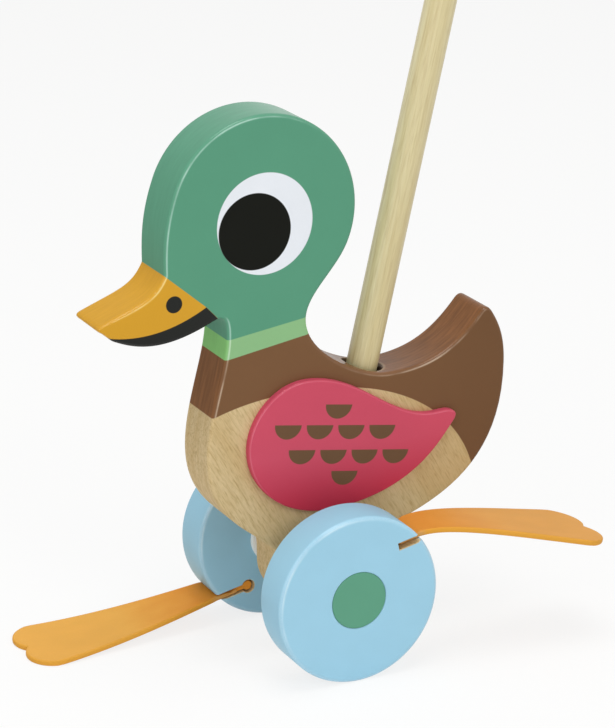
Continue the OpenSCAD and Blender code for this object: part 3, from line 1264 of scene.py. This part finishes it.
DUCK_PAINT = DuckPaint("painted_duck", 0.36)
WING_PAINT = WingPaint("painted_wing", 0.36, wear_and_highlight=0.25)
WHEEL_PAINT = WheelPaint("painted_wheel", 0.36, coat=0.1)
HUB_PAINT = WheelPaint("painted_hub", 0.36, tint=Tint.HUB_GREEN)
ROD_WOOD = Dowel("sanded_rod", 0.42, coat=0.1, lean=ROD_TILT)
AXLE_WOOD = Dowel("sanded_axle", 0.5, across_duck=True, wood=BEECH)
SPACER_PLASTIC = Plastic("white_plastic", 0.3)
LEATHERS = {
    Side.LEFT: Leather("orange_leather_rear", 0.48),
    # Painted light: the front foot gets a lighter, yellower copy of the same leather.
    Side.RIGHT: Leather("orange_leather_front_lit", 0.48, Tint.FRONT_LEATHER_TOP_LIT,
                        Tint.FRONT_LEATHER_ROOT_LIT),
}


def settle(piece: bpy.types.Object, body: str, slot: str, *nodes: str) -> None:
    """Puts a piece on its body in place of its nodes, and logs it.

    Args:
        piece: The finished piece.
        body: The body it rides on.
        slot: A material slot's name; not used.
        nodes: The nodes it stands for.
    """
    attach(piece, body)
    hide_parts(*nodes)
    log.info("%s: %d faces on %s", piece.name, len(piece.data.polygons), body)


@dataclass
class Duck:
    """The duck board, its wings, and the rod with its ball."""

    board_round: float = 1.5
    wing_thickness: float = 3.0
    wing_round: float = 0.8
    wing_back_round: float = 0.2
    head_centre: Point = (-22.4, 143.3)
    head_radius: float = 37.4
    nape_angle: float = -22.0
    nape_pull: float = 12.0
    brow_angle: float = 160.0
    brow_pull: float = 11.4
    tab_radius: float = 16.5
    rod_radius: float = 6.0
    rod_length: float = 480.0
    rod_bevel: Point = (0.8, 1.0)
    socket_depth: float = 40.0
    hole_mouth: float = 8.1
    hole_bore: float = 6.4
    hole_depth: float = 7.0
    ball_radius: float = 17.0
    ball_hole: float = 22.0
    ball_bevel: Point = (0.7, 0.6)
    ball_bore: float = 2.0

    HEAD_STEPS = 120
    TAB_STEPS = 60
    BOARD_POINTS = 1000
    BOARD_ROWS = 30
    HOLE_CROWD = 1.6
    WING_POINTS = 420
    ROD_STEPS = 64
    ROD_RINGS = 60
    ROD_FIRST_RING = 10.0
    BALL_RINGS = 60
    WING_START = (54.7, 50.5)
    WING = (
        ((47.4, 40.5), (35.0, 26.4), (5.0, 24.9)),
        ((-14.9, 23.9), (-30.6, 37.2), (-30.6, 53.2)),
        ((-30.6, 65.5), (-19.7, 77.9), (-6.3, 77.9)),
        ((16.0, 77.9), (29.0, 56.7), (47.5, 57.0)),
        ((51.2, 57.1), (53.3, 57.5), (55.1, 56.8)),
        ((59.3, 55.4), (55.7, 51.9), WING_START),
    )

    def outline(self) -> Array:
        """The duck's outline: the head's arc, then curves that each run on from the last.

        Returns:
            The points (x, z), one in a row.
        """
        head, radius, tab = np.asarray(self.head_centre), self.head_radius, self.tab_radius
        ends = np.radians([self.nape_angle, self.brow_angle])
        nape_end, brow = head + radius * np.column_stack([np.cos(ends), np.sin(ends)])
        nape_way, brow_way = np.column_stack([-np.sin(ends), np.cos(ends)])
        front = (
            (brow + self.brow_pull * brow_way, (-62.5, 137.3), (-62.2, 125.3)),  # brow
            ((-66.6, 116.3), (-72.1, 116.2), (-86.8, 109.9)),  # bill, to its tip
            ((-88.8, 109.0), (-88.8, 107.8), (-86.8, 107.0)),
            ((-85.4, 105.8), (-84.1, 104.7), (-82.7, 103.5)),
            ((-73.2, 98.9), (-62.2, 96.2), (-42.3, 105.5)),  # lower bill
            ((-38.7, 107.2), (-37.4, 105.5), (-37.4, 98.7)),  # throat
            ((-37.4, 86.7), (-46.1, 67.6), (-46.1, 51.0)),  # chest
            ((-46.1, 26.9), (-28.0, 21.2), (-18.0, 10.6)),  # belly
            ((-tab, 9.0), (-tab, 7.0), (-tab, 0.0)),  # axle tab
        )
        rear = (
            ((tab, 5.0), (17.5, 7.0), (22.0, 9.0)),  # axle tab
            ((40.1, 17.0), (79.9, 21.9), (79.9, 71.9)),  # rump
            ((79.9, 79.9), (78.5, 85.8), (74.5, 92.1)),  # tail
            ((73.0, 94.9), (71.0, 95.6), (69.0, 93.6)),
            ((59.5, 82.4), (49.4, 74.8), (29.6, 74.8)),  # back
            ((17.7, 74.8), (-5.2, 86.8), (-5.2, 100.6)),  # neck
            ((-5.2, 110.5), nape_end - self.nape_pull * nape_way, nape_end),  # nape
        )
        return np.vstack([
            arc(head, radius, self.nape_angle, self.brow_angle, self.HEAD_STEPS),
            chain(brow, front),
            arc((0.0, 0.0), tab, 180.0, 360.0, self.TAB_STEPS)[1:],
            chain((tab, 0.0), rear),
        ])

    def rod_line(self) -> tuple[Array, Array]:
        """The point where the rod leaves the back, and the rod's direction.

        Returns:
            The point and the direction, as (x, y, z).
        """
        tilt = math.radians(ROD_TILT)
        foot = np.array([ROD_FOOT[0], 0.0, ROD_FOOT[1]])
        return foot, np.array([math.sin(tilt), 0.0, math.cos(tilt)])

    def build_board(self) -> None:
        """Builds the board, and sinks the rod's hole into its back.

        A point at distance r from the rod's line sinks along it by the hole's depth times
        s s (3 - 2 s), where s is the share of the way from the hole's mouth in to its bore.
        """
        outline = respaced(self.outline(), self.BOARD_POINTS, ROD_FOOT, self.HOLE_CROWD)
        plate = Plate(outline, -HALF_BOARD, HALF_BOARD, self.board_round, self.board_round,
                      self.BOARD_ROWS)
        grid, marks = plate.grid()
        foot, way = self.rod_line()
        arm = grid - foot
        along = arm @ way
        away = np.linalg.norm(arm - along[..., None] * way, axis=-1)
        share = np.clip((self.hole_mouth - away) / (self.hole_mouth - self.hole_bore), 0.0, 1.0)
        sink = self.hole_depth * share * share * (3 - 2 * share) * (np.abs(along) < HOLE_REACH)
        surface = Surface.from_rings(grid - sink[..., None] * way, marks)
        settle(surface.make("duck_board", DUCK_PAINT), "duck", "duck_paint", "body_board")

    def build_wing(self, side: Side) -> None:
        """Builds one wing, a drop with its point towards the tail, against the board's face.

        Args:
            side: The wing's side.
        """
        outline = respaced(chain(self.WING_START, self.WING), self.WING_POINTS)
        plate = Plate(outline, -HALF_BOARD - self.wing_thickness, -HALF_BOARD, self.wing_round,
                      self.wing_back_round)
        surface = plate.surface()
        surface.points = surface.points * [1.0, side.turn, 1.0]
        piece = surface.make(f"wing_{side.word}", WING_PAINT)
        settle(piece, "duck", "wing_paint", f"{side.word}_wing")

    def build_rod(self) -> None:
        """Builds the rod and its ball as turned pieces on the rod's own line."""
        foot, way = self.rod_line()
        start, top = foot - self.socket_depth * way, self.rod_length
        depth, run = self.rod_bevel
        middle = np.linspace(self.ROD_FIRST_RING, top - run, self.ROD_RINGS)
        lengths = np.concatenate([[0.0, run], middle, [top]])
        radii = np.full(len(lengths), self.rod_radius)
        radii[[0, -1]] -= depth
        rod = turned(np.column_stack([radii, lengths]), start, way, self.ROD_STEPS)
        settle(rod.make("rod_dowel", ROD_WOOD), "duck", "rod_wood", "push_rod")
        radius, centre = self.ball_radius, top - self.ball_hole + self.ball_radius
        depth, run = self.ball_bevel
        low = math.asin((self.rod_radius + depth) / radius)
        angle = np.linspace(low, math.pi, self.BALL_RINGS)
        ball = np.column_stack([radius * np.sin(angle), centre - radius * np.cos(angle)])
        bore = [[self.rod_radius, ball[0, 1] + step] for step in (self.ball_bore, run)]
        piece = turned(np.vstack([bore, ball]), start, way)
        settle(piece.make("rod_ball", ROD_WOOD), "duck", "rod_wood", "rod_knob")

    def build(self) -> None:
        """Builds every piece that the duck carries."""
        self.build_board()
        for side in Side:
            self.build_wing(side)
        self.build_rod()


@dataclass(frozen=True)
class Kerf:
    """The saw cut that holds a foot, in its own frame: x along the cut and z across it."""

    offset: float
    rim: float = AXLE_HEIGHT
    angle: float = 12.5
    width: float = 2.6
    depth: float = 9.7
    keyhole_radius: float = 2.6
    keyhole_setback: float = 3.0
    keyhole_depth: float = 10.0
    bend_clear: float = 1.5

    @property
    def mouth(self) -> float:
        """How far out the cut's middle meets the rim."""
        return math.sqrt(self.rim ** 2 - self.offset ** 2)

    @property
    def end(self) -> float:
        """How far out the cut ends inside the wheel."""
        return self.mouth - self.depth

    @property
    def keyhole(self) -> float:
        """How far out the keyhole's centre is."""
        return self.end - self.keyhole_setback

    def turn(self, flat: Array) -> Array:
        """Turns places of the cut's frame into the duck's, for the left wheel.

        Args:
            flat: The places (x, z), in the last axis of an array.

        Returns:
            The turned places, in an array of the same shape.
        """
        cos, sin = math.cos(math.radians(self.angle)), math.sin(math.radians(self.angle))
        x, z = flat[..., 0], flat[..., 1]
        return np.stack([x * cos - z * sin, x * sin + z * cos], -1)


KERFS = {Side.LEFT: Kerf(14.5), Side.RIGHT: Kerf(16.4)}


@dataclass
class WheelEnd:
    """One end of the axle: a wheel with its hub plug, spacer and the bead that holds its foot.

    The shapes are drawn for the left side; the right one is turned through the axle's middle.
    """

    side: Side
    inner: float = 27.5
    outer: float = 44.5
    edge: float = 1.4
    edge_width: float = 1.9
    cut_break: float = 0.25
    end_play: float = 0.4
    hub_radius: float = 11.2
    hub_depth: float = 3.0
    groove: float = 0.3
    plug_gap: float = 0.05
    plug_edge: float = 0.45
    plug_sink: float = 0.02
    plug_back: float = 0.1
    plug_flat: float = 2.0
    axle_radius: float = 4.0
    flange_radius: float = 11.0
    flange_thickness: float = 2.5
    sleeve_radius: float = 7.0
    bead_radius: float = 2.0
    bead_gap: float = 0.05
    bead_sink: float = 1.0
    bead_rounds: Point = (0.1, 0.3)
    neck_half: float = 1.0
    neck_length: float = 2.6

    # The side whose rim gets the pale line, a painted highlight with thinned paint: forward and up.
    WEAR_AND_HIGHLIGHT_SIDE = (-0.77, 0.64)
    ROUND_ROWS = 9
    RIM_POINTS = 240
    CUT_POINTS = 10
    END_POINTS = 24
    HUB_POINTS = 96
    PLUG_ROWS = 6
    BEAD_STEPS = 40
    BEAD_POINTS = 160
    BEAD_ROWS = 4
    SPLIT = (130.0, 310.0)
    MIDDLE = (0.0, 0.0, 0.0)
    OUTWARD = (0.0, -1.0, 0.0)

    @property
    def kerf(self) -> Kerf:
        """This side's saw cut."""
        return KERFS[self.side]

    @property
    def keyhole_floor(self) -> float:
        """How far from the duck's middle the keyhole ends."""
        return self.inner + self.kerf.keyhole_depth

    def rows(self) -> Array:
        """The wheel's section from its outer face to its inner one.

        Each row has the place across, the rim's radius, how far the cut's corners are broken,
        1 where the keyhole shows, and the edge and lip marks. Roundings are quarter ovals,
        w (1 - cos a) in and r (1 - sin a) down, and the step at the keyhole's floor has two rows
        at one place.

        Returns:
            The rows.
        """
        bend, rim, floor = Rounding(self.ROUND_ROWS), self.kerf.rim, self.keyhole_floor
        radius, below = rim - self.edge_width * bend.inset, self.edge * bend.below
        breaks = np.maximum(0.0, self.cut_break - below)
        none, full = np.zeros_like(below), np.ones_like(below)
        outside = np.column_stack([self.outer - below, radius, breaks, none, bend.edge, bend.lip])
        inside = np.column_stack([self.inner + below, radius, breaks, full, bend.edge, bend.lip])
        steps = np.array([[floor, rim, 0.0, keyed, 0.0, 0.0] for keyed in (0.0, 1.0)])
        flat = np.array([0.0, -FLAT_LIP, 0.0, 0.0, 0.0, 0.0])
        return np.vstack([outside[:1] + flat, outside, steps, inside[::-1], inside[:1] + flat])

    def ring(self, rows: Array) -> Array:
        """The wheel's outline at each row: the rim, then in along the cut, round its end and out.

        The rim is radius (cos a, sin a) between the two corners of the cut. The cut's end is a
        straight line, or the keyhole's circle where that shows.

        Args:
            rows: The section's rows.

        Returns:
            Places (x, z) in the cut's frame, by row and point.
        """
        kerf = self.kerf
        _, radius, breaks, keyed, _, _ = rows.T[..., None]
        half, hole = kerf.width / 2 + breaks, kerf.keyhole_radius + breaks
        low, high = kerf.offset - half, kerf.offset + half
        out_low, out_high = np.sqrt(radius ** 2 - low ** 2), np.sqrt(radius ** 2 - high ** 2)
        first, last = np.arctan2(high, out_high), FULL_TURN + np.arctan2(low, out_low)
        angle = first + (last - first) * np.linspace(0.0, 1.0, self.RIM_POINTS)
        rim = np.stack([radius * np.cos(angle), radius * np.sin(angle)], -1)
        run = np.linspace(0.0, 1.0, self.CUT_POINTS + 1)
        lower_x = out_low + (kerf.end - out_low) * run[1:]
        lower = np.stack([lower_x, np.broadcast_to(low, lower_x.shape)], -1)
        upper_x = kerf.end + (out_high - kerf.end) * run[1:-1]
        upper = np.stack([upper_x, np.broadcast_to(high, upper_x.shape)], -1)
        share = np.linspace(0.0, 1.0, self.END_POINTS)
        slit = np.arcsin(half / hole)
        way = -slit - (FULL_TURN - 2 * slit) * share
        circle_x, circle_z = kerf.keyhole + hole * np.cos(way), kerf.offset + hole * np.sin(way)
        circle = np.stack([circle_x, circle_z], -1)
        straight_z = low + (high - low) * share
        straight = np.stack([np.full_like(straight_z, kerf.end), straight_z], -1)
        end = straight + keyed[..., None] * (circle - straight)
        corner = np.stack([np.full_like(high, kerf.end), high], -1)
        return np.concatenate([rim, lower, end, corner, upper], axis=1)

    def wheel_marks(self, rows: Array, flat: Array) -> dict[str, Array]:
        """Marks the wheel's rounded edges, its saw cut, and the lip that takes the pale line.

        The pale line's mark, a painted highlight with thinned paint, is the lip's mark, times the
        square of how far the rim there faces forward and up.

        Args:
            rows: The section's rows.
            flat: The outline's places (x, z), by row and point.

        Returns:
            The marks by name, each by row and point.
        """
        rings, count = flat.shape[:2]
        on_rim = (np.arange(count) < self.RIM_POINTS).astype(float)
        in_cut = (np.arange(rings) > 1) & (np.arange(rings) < rings - 2)
        facing = flat @ np.array(self.WEAR_AND_HIGHLIGHT_SIDE) / np.linalg.norm(flat, axis=-1)
        worn_and_lit = np.clip(self.side.turn * facing, 0.0, 1.0) ** 2
        edge, lip = rows.T[4:, :, None]
        return {"edge": edge * on_rim, "kerf": in_cut[:, None] * (1.0 - on_rim),
                "wear_and_highlight": lip * on_rim * worn_and_lit}

    def hub_recess(self) -> Array:
        """The recess for the plug: radius (cos a, sin a) at the groove's top, its foot and below.

        Returns:
            The three rings of points.
        """
        radius = np.array([[self.hub_radius + self.groove], [self.hub_radius], [self.hub_radius]])
        depth = np.array([[0.0], [self.groove], [self.hub_depth]])
        angle = np.linspace(0.0, FULL_TURN, self.HUB_POINTS, endpoint=False)
        flat = np.stack([radius * np.cos(angle), radius * np.sin(angle)], -1)
        return upright(flat, depth - self.outer)

    def outer_faces(self, outline: Array, start: int) -> list[list[int]]:
        """The wheel's outer face as two flat faces, split along one line through the hub.

        Args:
            outline: The outermost row's places (x, z).
            start: The number of the recess's first point.

        Returns:
            Both faces' corners.
        """
        rim, points = outline[:self.RIM_POINTS], self.HUB_POINTS
        angle = np.unwrap(np.arctan2(rim[:, 1], rim[:, 0]))
        cuts = [int(np.argmin(np.abs(angle - math.radians(a)))) for a in self.SPLIT]
        hubs = [int(round(math.degrees(angle[c]) / 360.0 * points)) for c in cuts]
        upper = [*range(cuts[0], cuts[1] + 1)]
        lower = [*range(cuts[1], len(outline)), *range(cuts[0] + 1)]
        upper += [start + h % points for h in range(hubs[1], hubs[0] - 1, -1)]
        lower += [start + h % points for h in range(hubs[0] + points, hubs[1] - 1, -1)]
        return [upper, lower]

    def wheel(self) -> Surface:
        """The wheel: its outline carried through the section, and the hub's recess.

        Returns:
            The closed surface.
        """
        rows = self.rows()
        flat = self.kerf.turn(self.ring(rows))
        rings, count = flat.shape[:2]
        hub, start = self.hub_recess(), rings * count
        stop = start + hub.shape[0] * hub.shape[1]
        faces = ring_quads(rings, count) + ring_quads(*hub.shape[:2], start)
        faces += [[*range(start - count, start)], [*range(stop - self.HUB_POINTS, stop)]]
        faces += self.outer_faces(flat[0], start)
        plain = np.zeros(stop - start)
        marks = {name: np.concatenate([mark.ravel(), plain])
                 for name, mark in self.wheel_marks(rows, flat).items()}
        grid = upright(flat, -rows[:, 0, None])
        return Surface(np.vstack([grid.reshape(-1, 3), hub.reshape(-1, 3)]), faces, marks)

    def hub_plug(self) -> Surface:
        """The hub plug, a disc with a rounded rim, just inside its recess.

        Returns:
            The closed surface.
        """
        angle = np.linspace(0.0, math.pi / 2, self.PLUG_ROWS)
        radius, face = self.hub_radius - self.plug_gap, self.outer - self.plug_sink
        rounding = np.column_stack([radius - self.plug_edge + self.plug_edge * np.cos(angle),
                                    face - self.plug_edge + self.plug_edge * np.sin(angle)])
        back = [radius, self.outer - self.hub_depth + self.plug_back]
        profile = np.vstack([back, rounding, [radius - self.plug_flat, face], [0.0, face]])
        return turned(profile, self.MIDDLE, self.OUTWARD)

    def spacer(self) -> Surface:
        """The spacer: a sleeve beside the board and a flange beside the wheel.

        Returns:
            The closed surface.
        """
        start, stop = HALF_BOARD + self.end_play, self.inner
        shoulder = stop - self.flange_thickness
        bore, sleeve, flange = self.axle_radius, self.sleeve_radius, self.flange_radius
        profile = np.array([
            # The sleeve's end, with its corners broken.
            [bore, start + 0.3], [bore + 0.3, start], [sleeve - 0.4, start], [sleeve, start + 0.4],
            # The hollow between the sleeve and the flange.
            [sleeve, shoulder - 0.8], [sleeve + 0.3, shoulder - 0.2], [sleeve + 0.9, shoulder],
            # The flange's rounded rim, and its face at the wheel.
            [flange - 0.5, shoulder], [flange - 0.12, shoulder + 0.15], [flange, shoulder + 0.5],
            [flange, stop - 0.3], [flange - 0.3, stop], [bore, stop],
        ])
        return turned(profile, self.MIDDLE, self.OUTWARD)

    def bead(self) -> Surface:
        """The foot's bead in its keyhole, with the strap's neck from it to the saw cut.

        Returns:
            The closed surface, marked as the strap's very start.
        """
        kerf, half = self.kerf, self.neck_half
        slit = math.degrees(math.asin(half / self.bead_radius))
        circle = arc((kerf.keyhole, kerf.offset), self.bead_radius, slit, 360.0 - slit,
                     self.BEAD_STEPS)
        neck = [[kerf.end + self.neck_length, kerf.offset + z] for z in (-half, half)]
        outline = kerf.turn(respaced(np.vstack([circle, neck]), self.BEAD_POINTS))
        near, far = self.bead_gap - self.keyhole_floor, -self.inner - self.bead_sink
        surface = Plate(outline, near, far, *self.bead_rounds, self.BEAD_ROWS).surface()
        surface.marks["flat"] = surface.points * self.side.turn
        surface.marks["reach"] = np.zeros(len(surface.points))
        return surface

    def build(self) -> None:
        """Builds each piece of this end."""
        word = self.side.word
        parts = (
            ("wheel", self.wheel(), WHEEL_PAINT, "wheel_paint", "wheel"),
            ("hub_plug", self.hub_plug(), HUB_PAINT, "hub_paint", "hub_plug"),
            ("spacer", self.spacer(), SPACER_PLASTIC, "spacer_plastic", "spacer"),
            ("foot_bead", self.bead(), LEATHERS[self.side], "foot_leather", "foot_root"),
        )
        for name, surface, finish, slot, node in parts:
            surface.points = surface.points * self.side.turn
            settle(surface.make(f"{name}_{word}", finish), "wheelset", slot, f"{word}_{node}")


def dress_axle() -> None:
    """Gives the axle, which keeps its own solid, its wood."""
    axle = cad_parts["axle"]
    axle.data.materials.clear()
    axle.data.materials.append(AXLE_WOOD.material())
    log.info("axle: kept, in %s", AXLE_WOOD.name)


@dataclass
class Foot:
    """One strap foot, from its saw cut to its two toes.

    The left foot trails behind and droops; the right one reaches forward and lies on the floor.
    """

    side: Side
    thickness: float = 2.2
    middle: float = 36.0
    held_half: float = 8.2
    root_half: float = 8.4
    toe_half: float = 18.2
    toe_radius: float = 11.0
    toe_reach: float = 104.5
    edge_round: float = 0.7
    edge_band: float = 0.9
    start_slack: float = 2.0
    cut_slack: float = 0.35
    slack_fade: float = 1.5
    pinch: float = 0.6
    pinch_reach: float = 2.6
    pinch_width: float = 1.5

    HANDLES = {
        Side.LEFT: ((39.0, 23.9), (70.0, 15.0), (104.5, 7.0)),
        Side.RIGHT: ((50.0, 27.3), (78.0, 31.9), (104.5, 31.9)),
    }
    ROOT_SHIFTS = {Side.LEFT: 2.5, Side.RIGHT: 0.0}
    HELD_POINTS = 30
    FREE_POINTS = 120
    BEND = HELD_POINTS - 1
    BEND_LOOK = 11
    BEND_BEFORE = 1.0
    BEND_AFTER = 10.0
    EDGE_SHARES = (0.0, 0.004, 0.012, 0.025, 0.045, 0.075)
    INNER_SHARE = 0.88
    INNER_POINTS = 45
    TOE_SHARES = (0.0095, 0.006, 0.003, 0.0015, 0.0005, 0.0)
    LENGTH_SHARE = 0.98
    LENGTH_POINTS = 90
    HELD_STEP = 0.01

    def line(self) -> Array:
        """The strap's middle line, as it is on the left: the saw cut, then the foot's curve.

        Returns:
            The points (x, z), one in a row.
        """
        kerf, count = KERFS[self.side], self.HELD_POINTS
        start, stop = kerf.end + self.start_slack, kerf.mouth + kerf.bend_clear
        cut = np.column_stack([np.linspace(start, stop, count), np.full(count, kerf.offset)])
        held = kerf.turn(cut)
        return np.vstack([held, bezier([held[-1], *self.HANDLES[self.side]], self.FREE_POINTS)])

    def grid(self, line: Array) -> tuple[Array, Array, Array]:
        """Lays the strap's plan on a grid of shares along and across.

        A line across at share t ends where the toes' two circles end, at x = c + sqrt(r^2 -
        (|y| - g)^2). The place across is t times the half width there, and the root's shift
        towards the duck, which fades out at the toes.

        Args:
            line: The strap's middle line.

        Returns:
            The place along, the place across, and the distance from the cut edge.
        """
        start, bend = line[0, 0], line[self.BEND, 0]
        sides, inner = np.array(self.EDGE_SHARES), self.INNER_SHARE
        t = np.concatenate([-1 + sides, np.linspace(-inner, inner, self.INNER_POINTS),
                            (1 - sides)[::-1]])
        p = np.concatenate([np.linspace(0.0, self.LENGTH_SHARE, self.LENGTH_POINTS),
                            1 - np.array(self.TOE_SHARES)])[:, None]
        radius, toe = self.toe_radius, self.toe_reach - self.toe_radius
        gap = np.abs(t) * self.toe_half - (self.toe_half - radius)
        stop = toe + np.sqrt(np.maximum(radius ** 2 - gap ** 2, 0.0))
        x = start + p * (stop - start)
        half = np.interp(x, [bend - self.HELD_STEP, bend, toe],
                         [self.held_half, self.root_half, self.toe_half])
        shift = np.interp(x, [bend, toe], [self.side.turn * self.ROOT_SHIFTS[self.side], 0.0])
        inside = np.minimum((1 - np.abs(t)) * half, (1 - p) * (stop - start))
        return x, t * half + shift, inside

    def faces(self, rows: int, columns: int) -> list[list[int]]:
        """The faces of two sheets of points and of the wall round their rims.

        Args:
            rows: The sheets' rows.
            columns: The points in each row.

        Returns:
            Each face's four corners.
        """
        number = np.arange(rows * columns).reshape(rows, columns)
        quads = np.stack([number[:-1, :-1], number[1:, :-1], number[1:, 1:], number[:-1, 1:]], -1)
        quads = quads.reshape(-1, 4)
        loop = np.concatenate([number[0], number[1:, -1], number[-1, -2::-1], number[-2:0:-1, 0]])
        ahead = np.roll(loop, -1)
        wall = np.stack([loop, ahead, ahead + number.size, loop + number.size], -1)
        return np.vstack([quads, quads[:, ::-1] + number.size, wall]).tolist()

    def surface(self) -> Surface:
        """The strap as a closed surface: its plan bent along its line, with rounded cut edges.

        At distance d from a cut edge the half thickness is h - r + sqrt(r^2 - (r - d)^2). In the
        saw cut the upper side lies lower by the slack and by a pinch, exp(-((x - c) / w)^2).

        Returns:
            The surface, with its flat place, its reach and its edges marked.
        """
        line = self.line()
        x, y, gap = self.grid(line)
        r, turn, start, bend = self.edge_round, self.side.turn, line[0, 0], line[self.BEND, 0]
        rounding = np.sqrt(np.maximum(r ** 2 - (r - np.minimum(gap, r)) ** 2, 0.0))
        lift = self.thickness / 2 - r + rounding
        way = np.gradient(line, axis=0)
        way = way / np.linalg.norm(way, axis=1, keepdims=True)
        z, way_x, way_z = (np.interp(x, line[:, 0], row) for row in (line[:, 1], *way.T))
        held = np.clip((bend - x) / self.slack_fade, 0.0, 1.0)
        pinched = np.exp(-(((x - start - self.pinch_reach) / self.pinch_width) ** 2))
        slack = held * (self.cut_slack + self.pinch * pinched)
        lifts = [(s, lift - slack * (s == turn)) for s in (1.0, -1.0)]
        sheets = [np.stack([x - s * h * way_z, y, z + s * h * way_x], -1) for s, h in lifts]
        points = np.vstack([sheet.reshape(-1, 3) for sheet in sheets])
        points = points * [turn, 1.0, turn] - [0.0, turn * self.middle, 0.0]
        marks = {
            "reach": np.clip((x - bend) / (self.toe_reach - bend), 0.0, 1.0).reshape(-1, 1),
            "edge": np.clip(1 - gap / self.edge_band, 0.0, 1.0).reshape(-1, 1),
            "flat": np.stack([x, y, np.zeros_like(x)], -1).reshape(-1, 3),
        }
        both = {name: np.vstack([values, values]) for name, values in marks.items()}
        return Surface(points, self.faces(*x.shape), both)

    def build(self) -> None:
        """Builds the strap as one piece, in place of the foot's node."""
        word, turn, line = self.side.word, self.side.turn, self.line()
        bend = line[self.BEND]
        way = line[self.BEND + self.BEND_LOOK] - bend
        way = way / np.linalg.norm(way)
        ends = [(bend + step * way) * turn for step in (-self.BEND_BEFORE, self.BEND_AFTER)]
        start, stop = [(x * MM, -turn * self.middle * MM, (z + AXLE_HEIGHT) * MM) for x, z in ends]
        piece = self.surface().make(f"foot_strap_{word}", LEATHERS[self.side])
        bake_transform(piece)
        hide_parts(f"{word}_foot")
        log.info("%s: %d faces between wheelset and %s_foot", piece.name,
                 len(piece.data.polygons), word)


@dataclass
class Studio:
    """The floor, the light and the camera. Its lengths are metres."""

    focal_pixels: float = 2950.0
    image_height: float = 728.0
    sensor: float = 36.0
    camera_place: tuple[float, float, float] = (-0.4646, -0.9417, 0.4709)
    camera_turn: float = -26.28
    camera_drop: float = 18.85
    clip_end: float = 50.0
    floor_half: float = 6.0
    ambient: float = 0.5
    floor_glow: float = 0.8
    lamp_aim: float = 0.12

    LAMPS = (
        ("front_box", (0.3, -1.75, 1.2), (0.8, 0.8), 8.5),
        ("low_box", (-0.8, -1.5, 0.35), (0.6, 0.6), 1.9),
        ("top_box", (-0.2, -0.15, 1.9), (1.0, 1.0), 15.5),
        ("side_strip", (-1.15, -0.85, 0.7), (0.07, 1.3), 2.6),
    )

    def floor(self) -> None:
        """Lays a pale floor that looks nearly white and keeps the toy's soft shadow."""
        corners = [(x * self.floor_half, y * self.floor_half, 0.0)
                   for x, y in ((-1, -1), (1, -1), (1, 1), (-1, 1))]
        mesh = bpy.data.meshes.new("floor")
        mesh.from_pydata(corners, [], [(0, 1, 2, 3)])
        material = bpy.data.materials.new("floor_white")
        nodes = Nodes(material)
        matt = nodes.node("ShaderNodeBsdfDiffuse", {}, {"Color": Tint.FLOOR_WHITE})
        glow = nodes.node("ShaderNodeEmission")
        inputs = {0: nodes.seen() * self.floor_glow, 1: matt.outputs[0], 2: glow.outputs[0]}
        both = nodes.node("ShaderNodeMixShader", {}, inputs)
        nodes.node("ShaderNodeOutputMaterial", {}, {"Surface": both.outputs[0]})
        mesh.materials.append(material)
        floor = enter("floor", mesh)

    def world(self) -> None:
        """Fills the surroundings: white where they are seen, and a softer level as light."""
        world = bpy.data.worlds.new("studio")
        bpy.context.scene.world = world
        nodes = Nodes(world)
        level = nodes.seen() * (1.0 - self.ambient) + self.ambient
        inputs = {"Color": (1.0, 1.0, 1.0, 1.0), "Strength": level}
        back = nodes.node("ShaderNodeBackground", {}, inputs)
        nodes.node("ShaderNodeOutputWorld", {}, {"Surface": back.outputs[0]})

    def lamp(self, name: str, place: Sequence[float], size: Point, power: float) -> None:
        """Hangs a soft box that faces the toy.

        Args:
            name: The lamp's name.
            place: Where it hangs.
            size: Its width and height.
            power: Its power, in watts.
        """
        light = bpy.data.lights.new(name, "AREA")
        light.shape, light.energy = "RECTANGLE", power
        light.size, light.size_y = size
        lamp = enter(name, light)
        x, y, z = place[0], place[1], place[2] - self.lamp_aim
        lamp.location = place
        lamp.rotation_euler = (math.atan2(math.hypot(x, y), z), 0.0, math.atan2(x, -y))

    def camera(self) -> None:
        """Sets the camera where the photograph was taken from."""
        data = bpy.data.cameras.new("camera")
        data.sensor_width = data.sensor_height = self.sensor
        data.sensor_fit = "AUTO"
        data.lens = self.focal_pixels / self.image_height * self.sensor
        data.clip_end = self.clip_end
        camera = enter("camera", data)
        camera.location = self.camera_place
        pitch, turn = math.radians(90.0 - self.camera_drop), math.radians(self.camera_turn)
        camera.rotation_euler = (pitch, 0.0, turn)
        bpy.context.scene.camera = camera

    def build(self) -> None:
        """Sets up the whole studio."""
        bpy.context.scene.view_settings.view_transform = "Standard"
        self.camera()
        self.floor()
        self.world()
        for lamp in self.LAMPS:
            self.lamp(*lamp)


def main() -> None:
    """Builds the studio and the toy."""
    logging.basicConfig(level=logging.INFO, format="%(name)s %(message)s")
    Studio().build()
    Duck().build()
    for side in Side:
        WheelEnd(side).build()
        Foot(side).build()
    dress_axle()


if __name__ == "__main__":
    main()
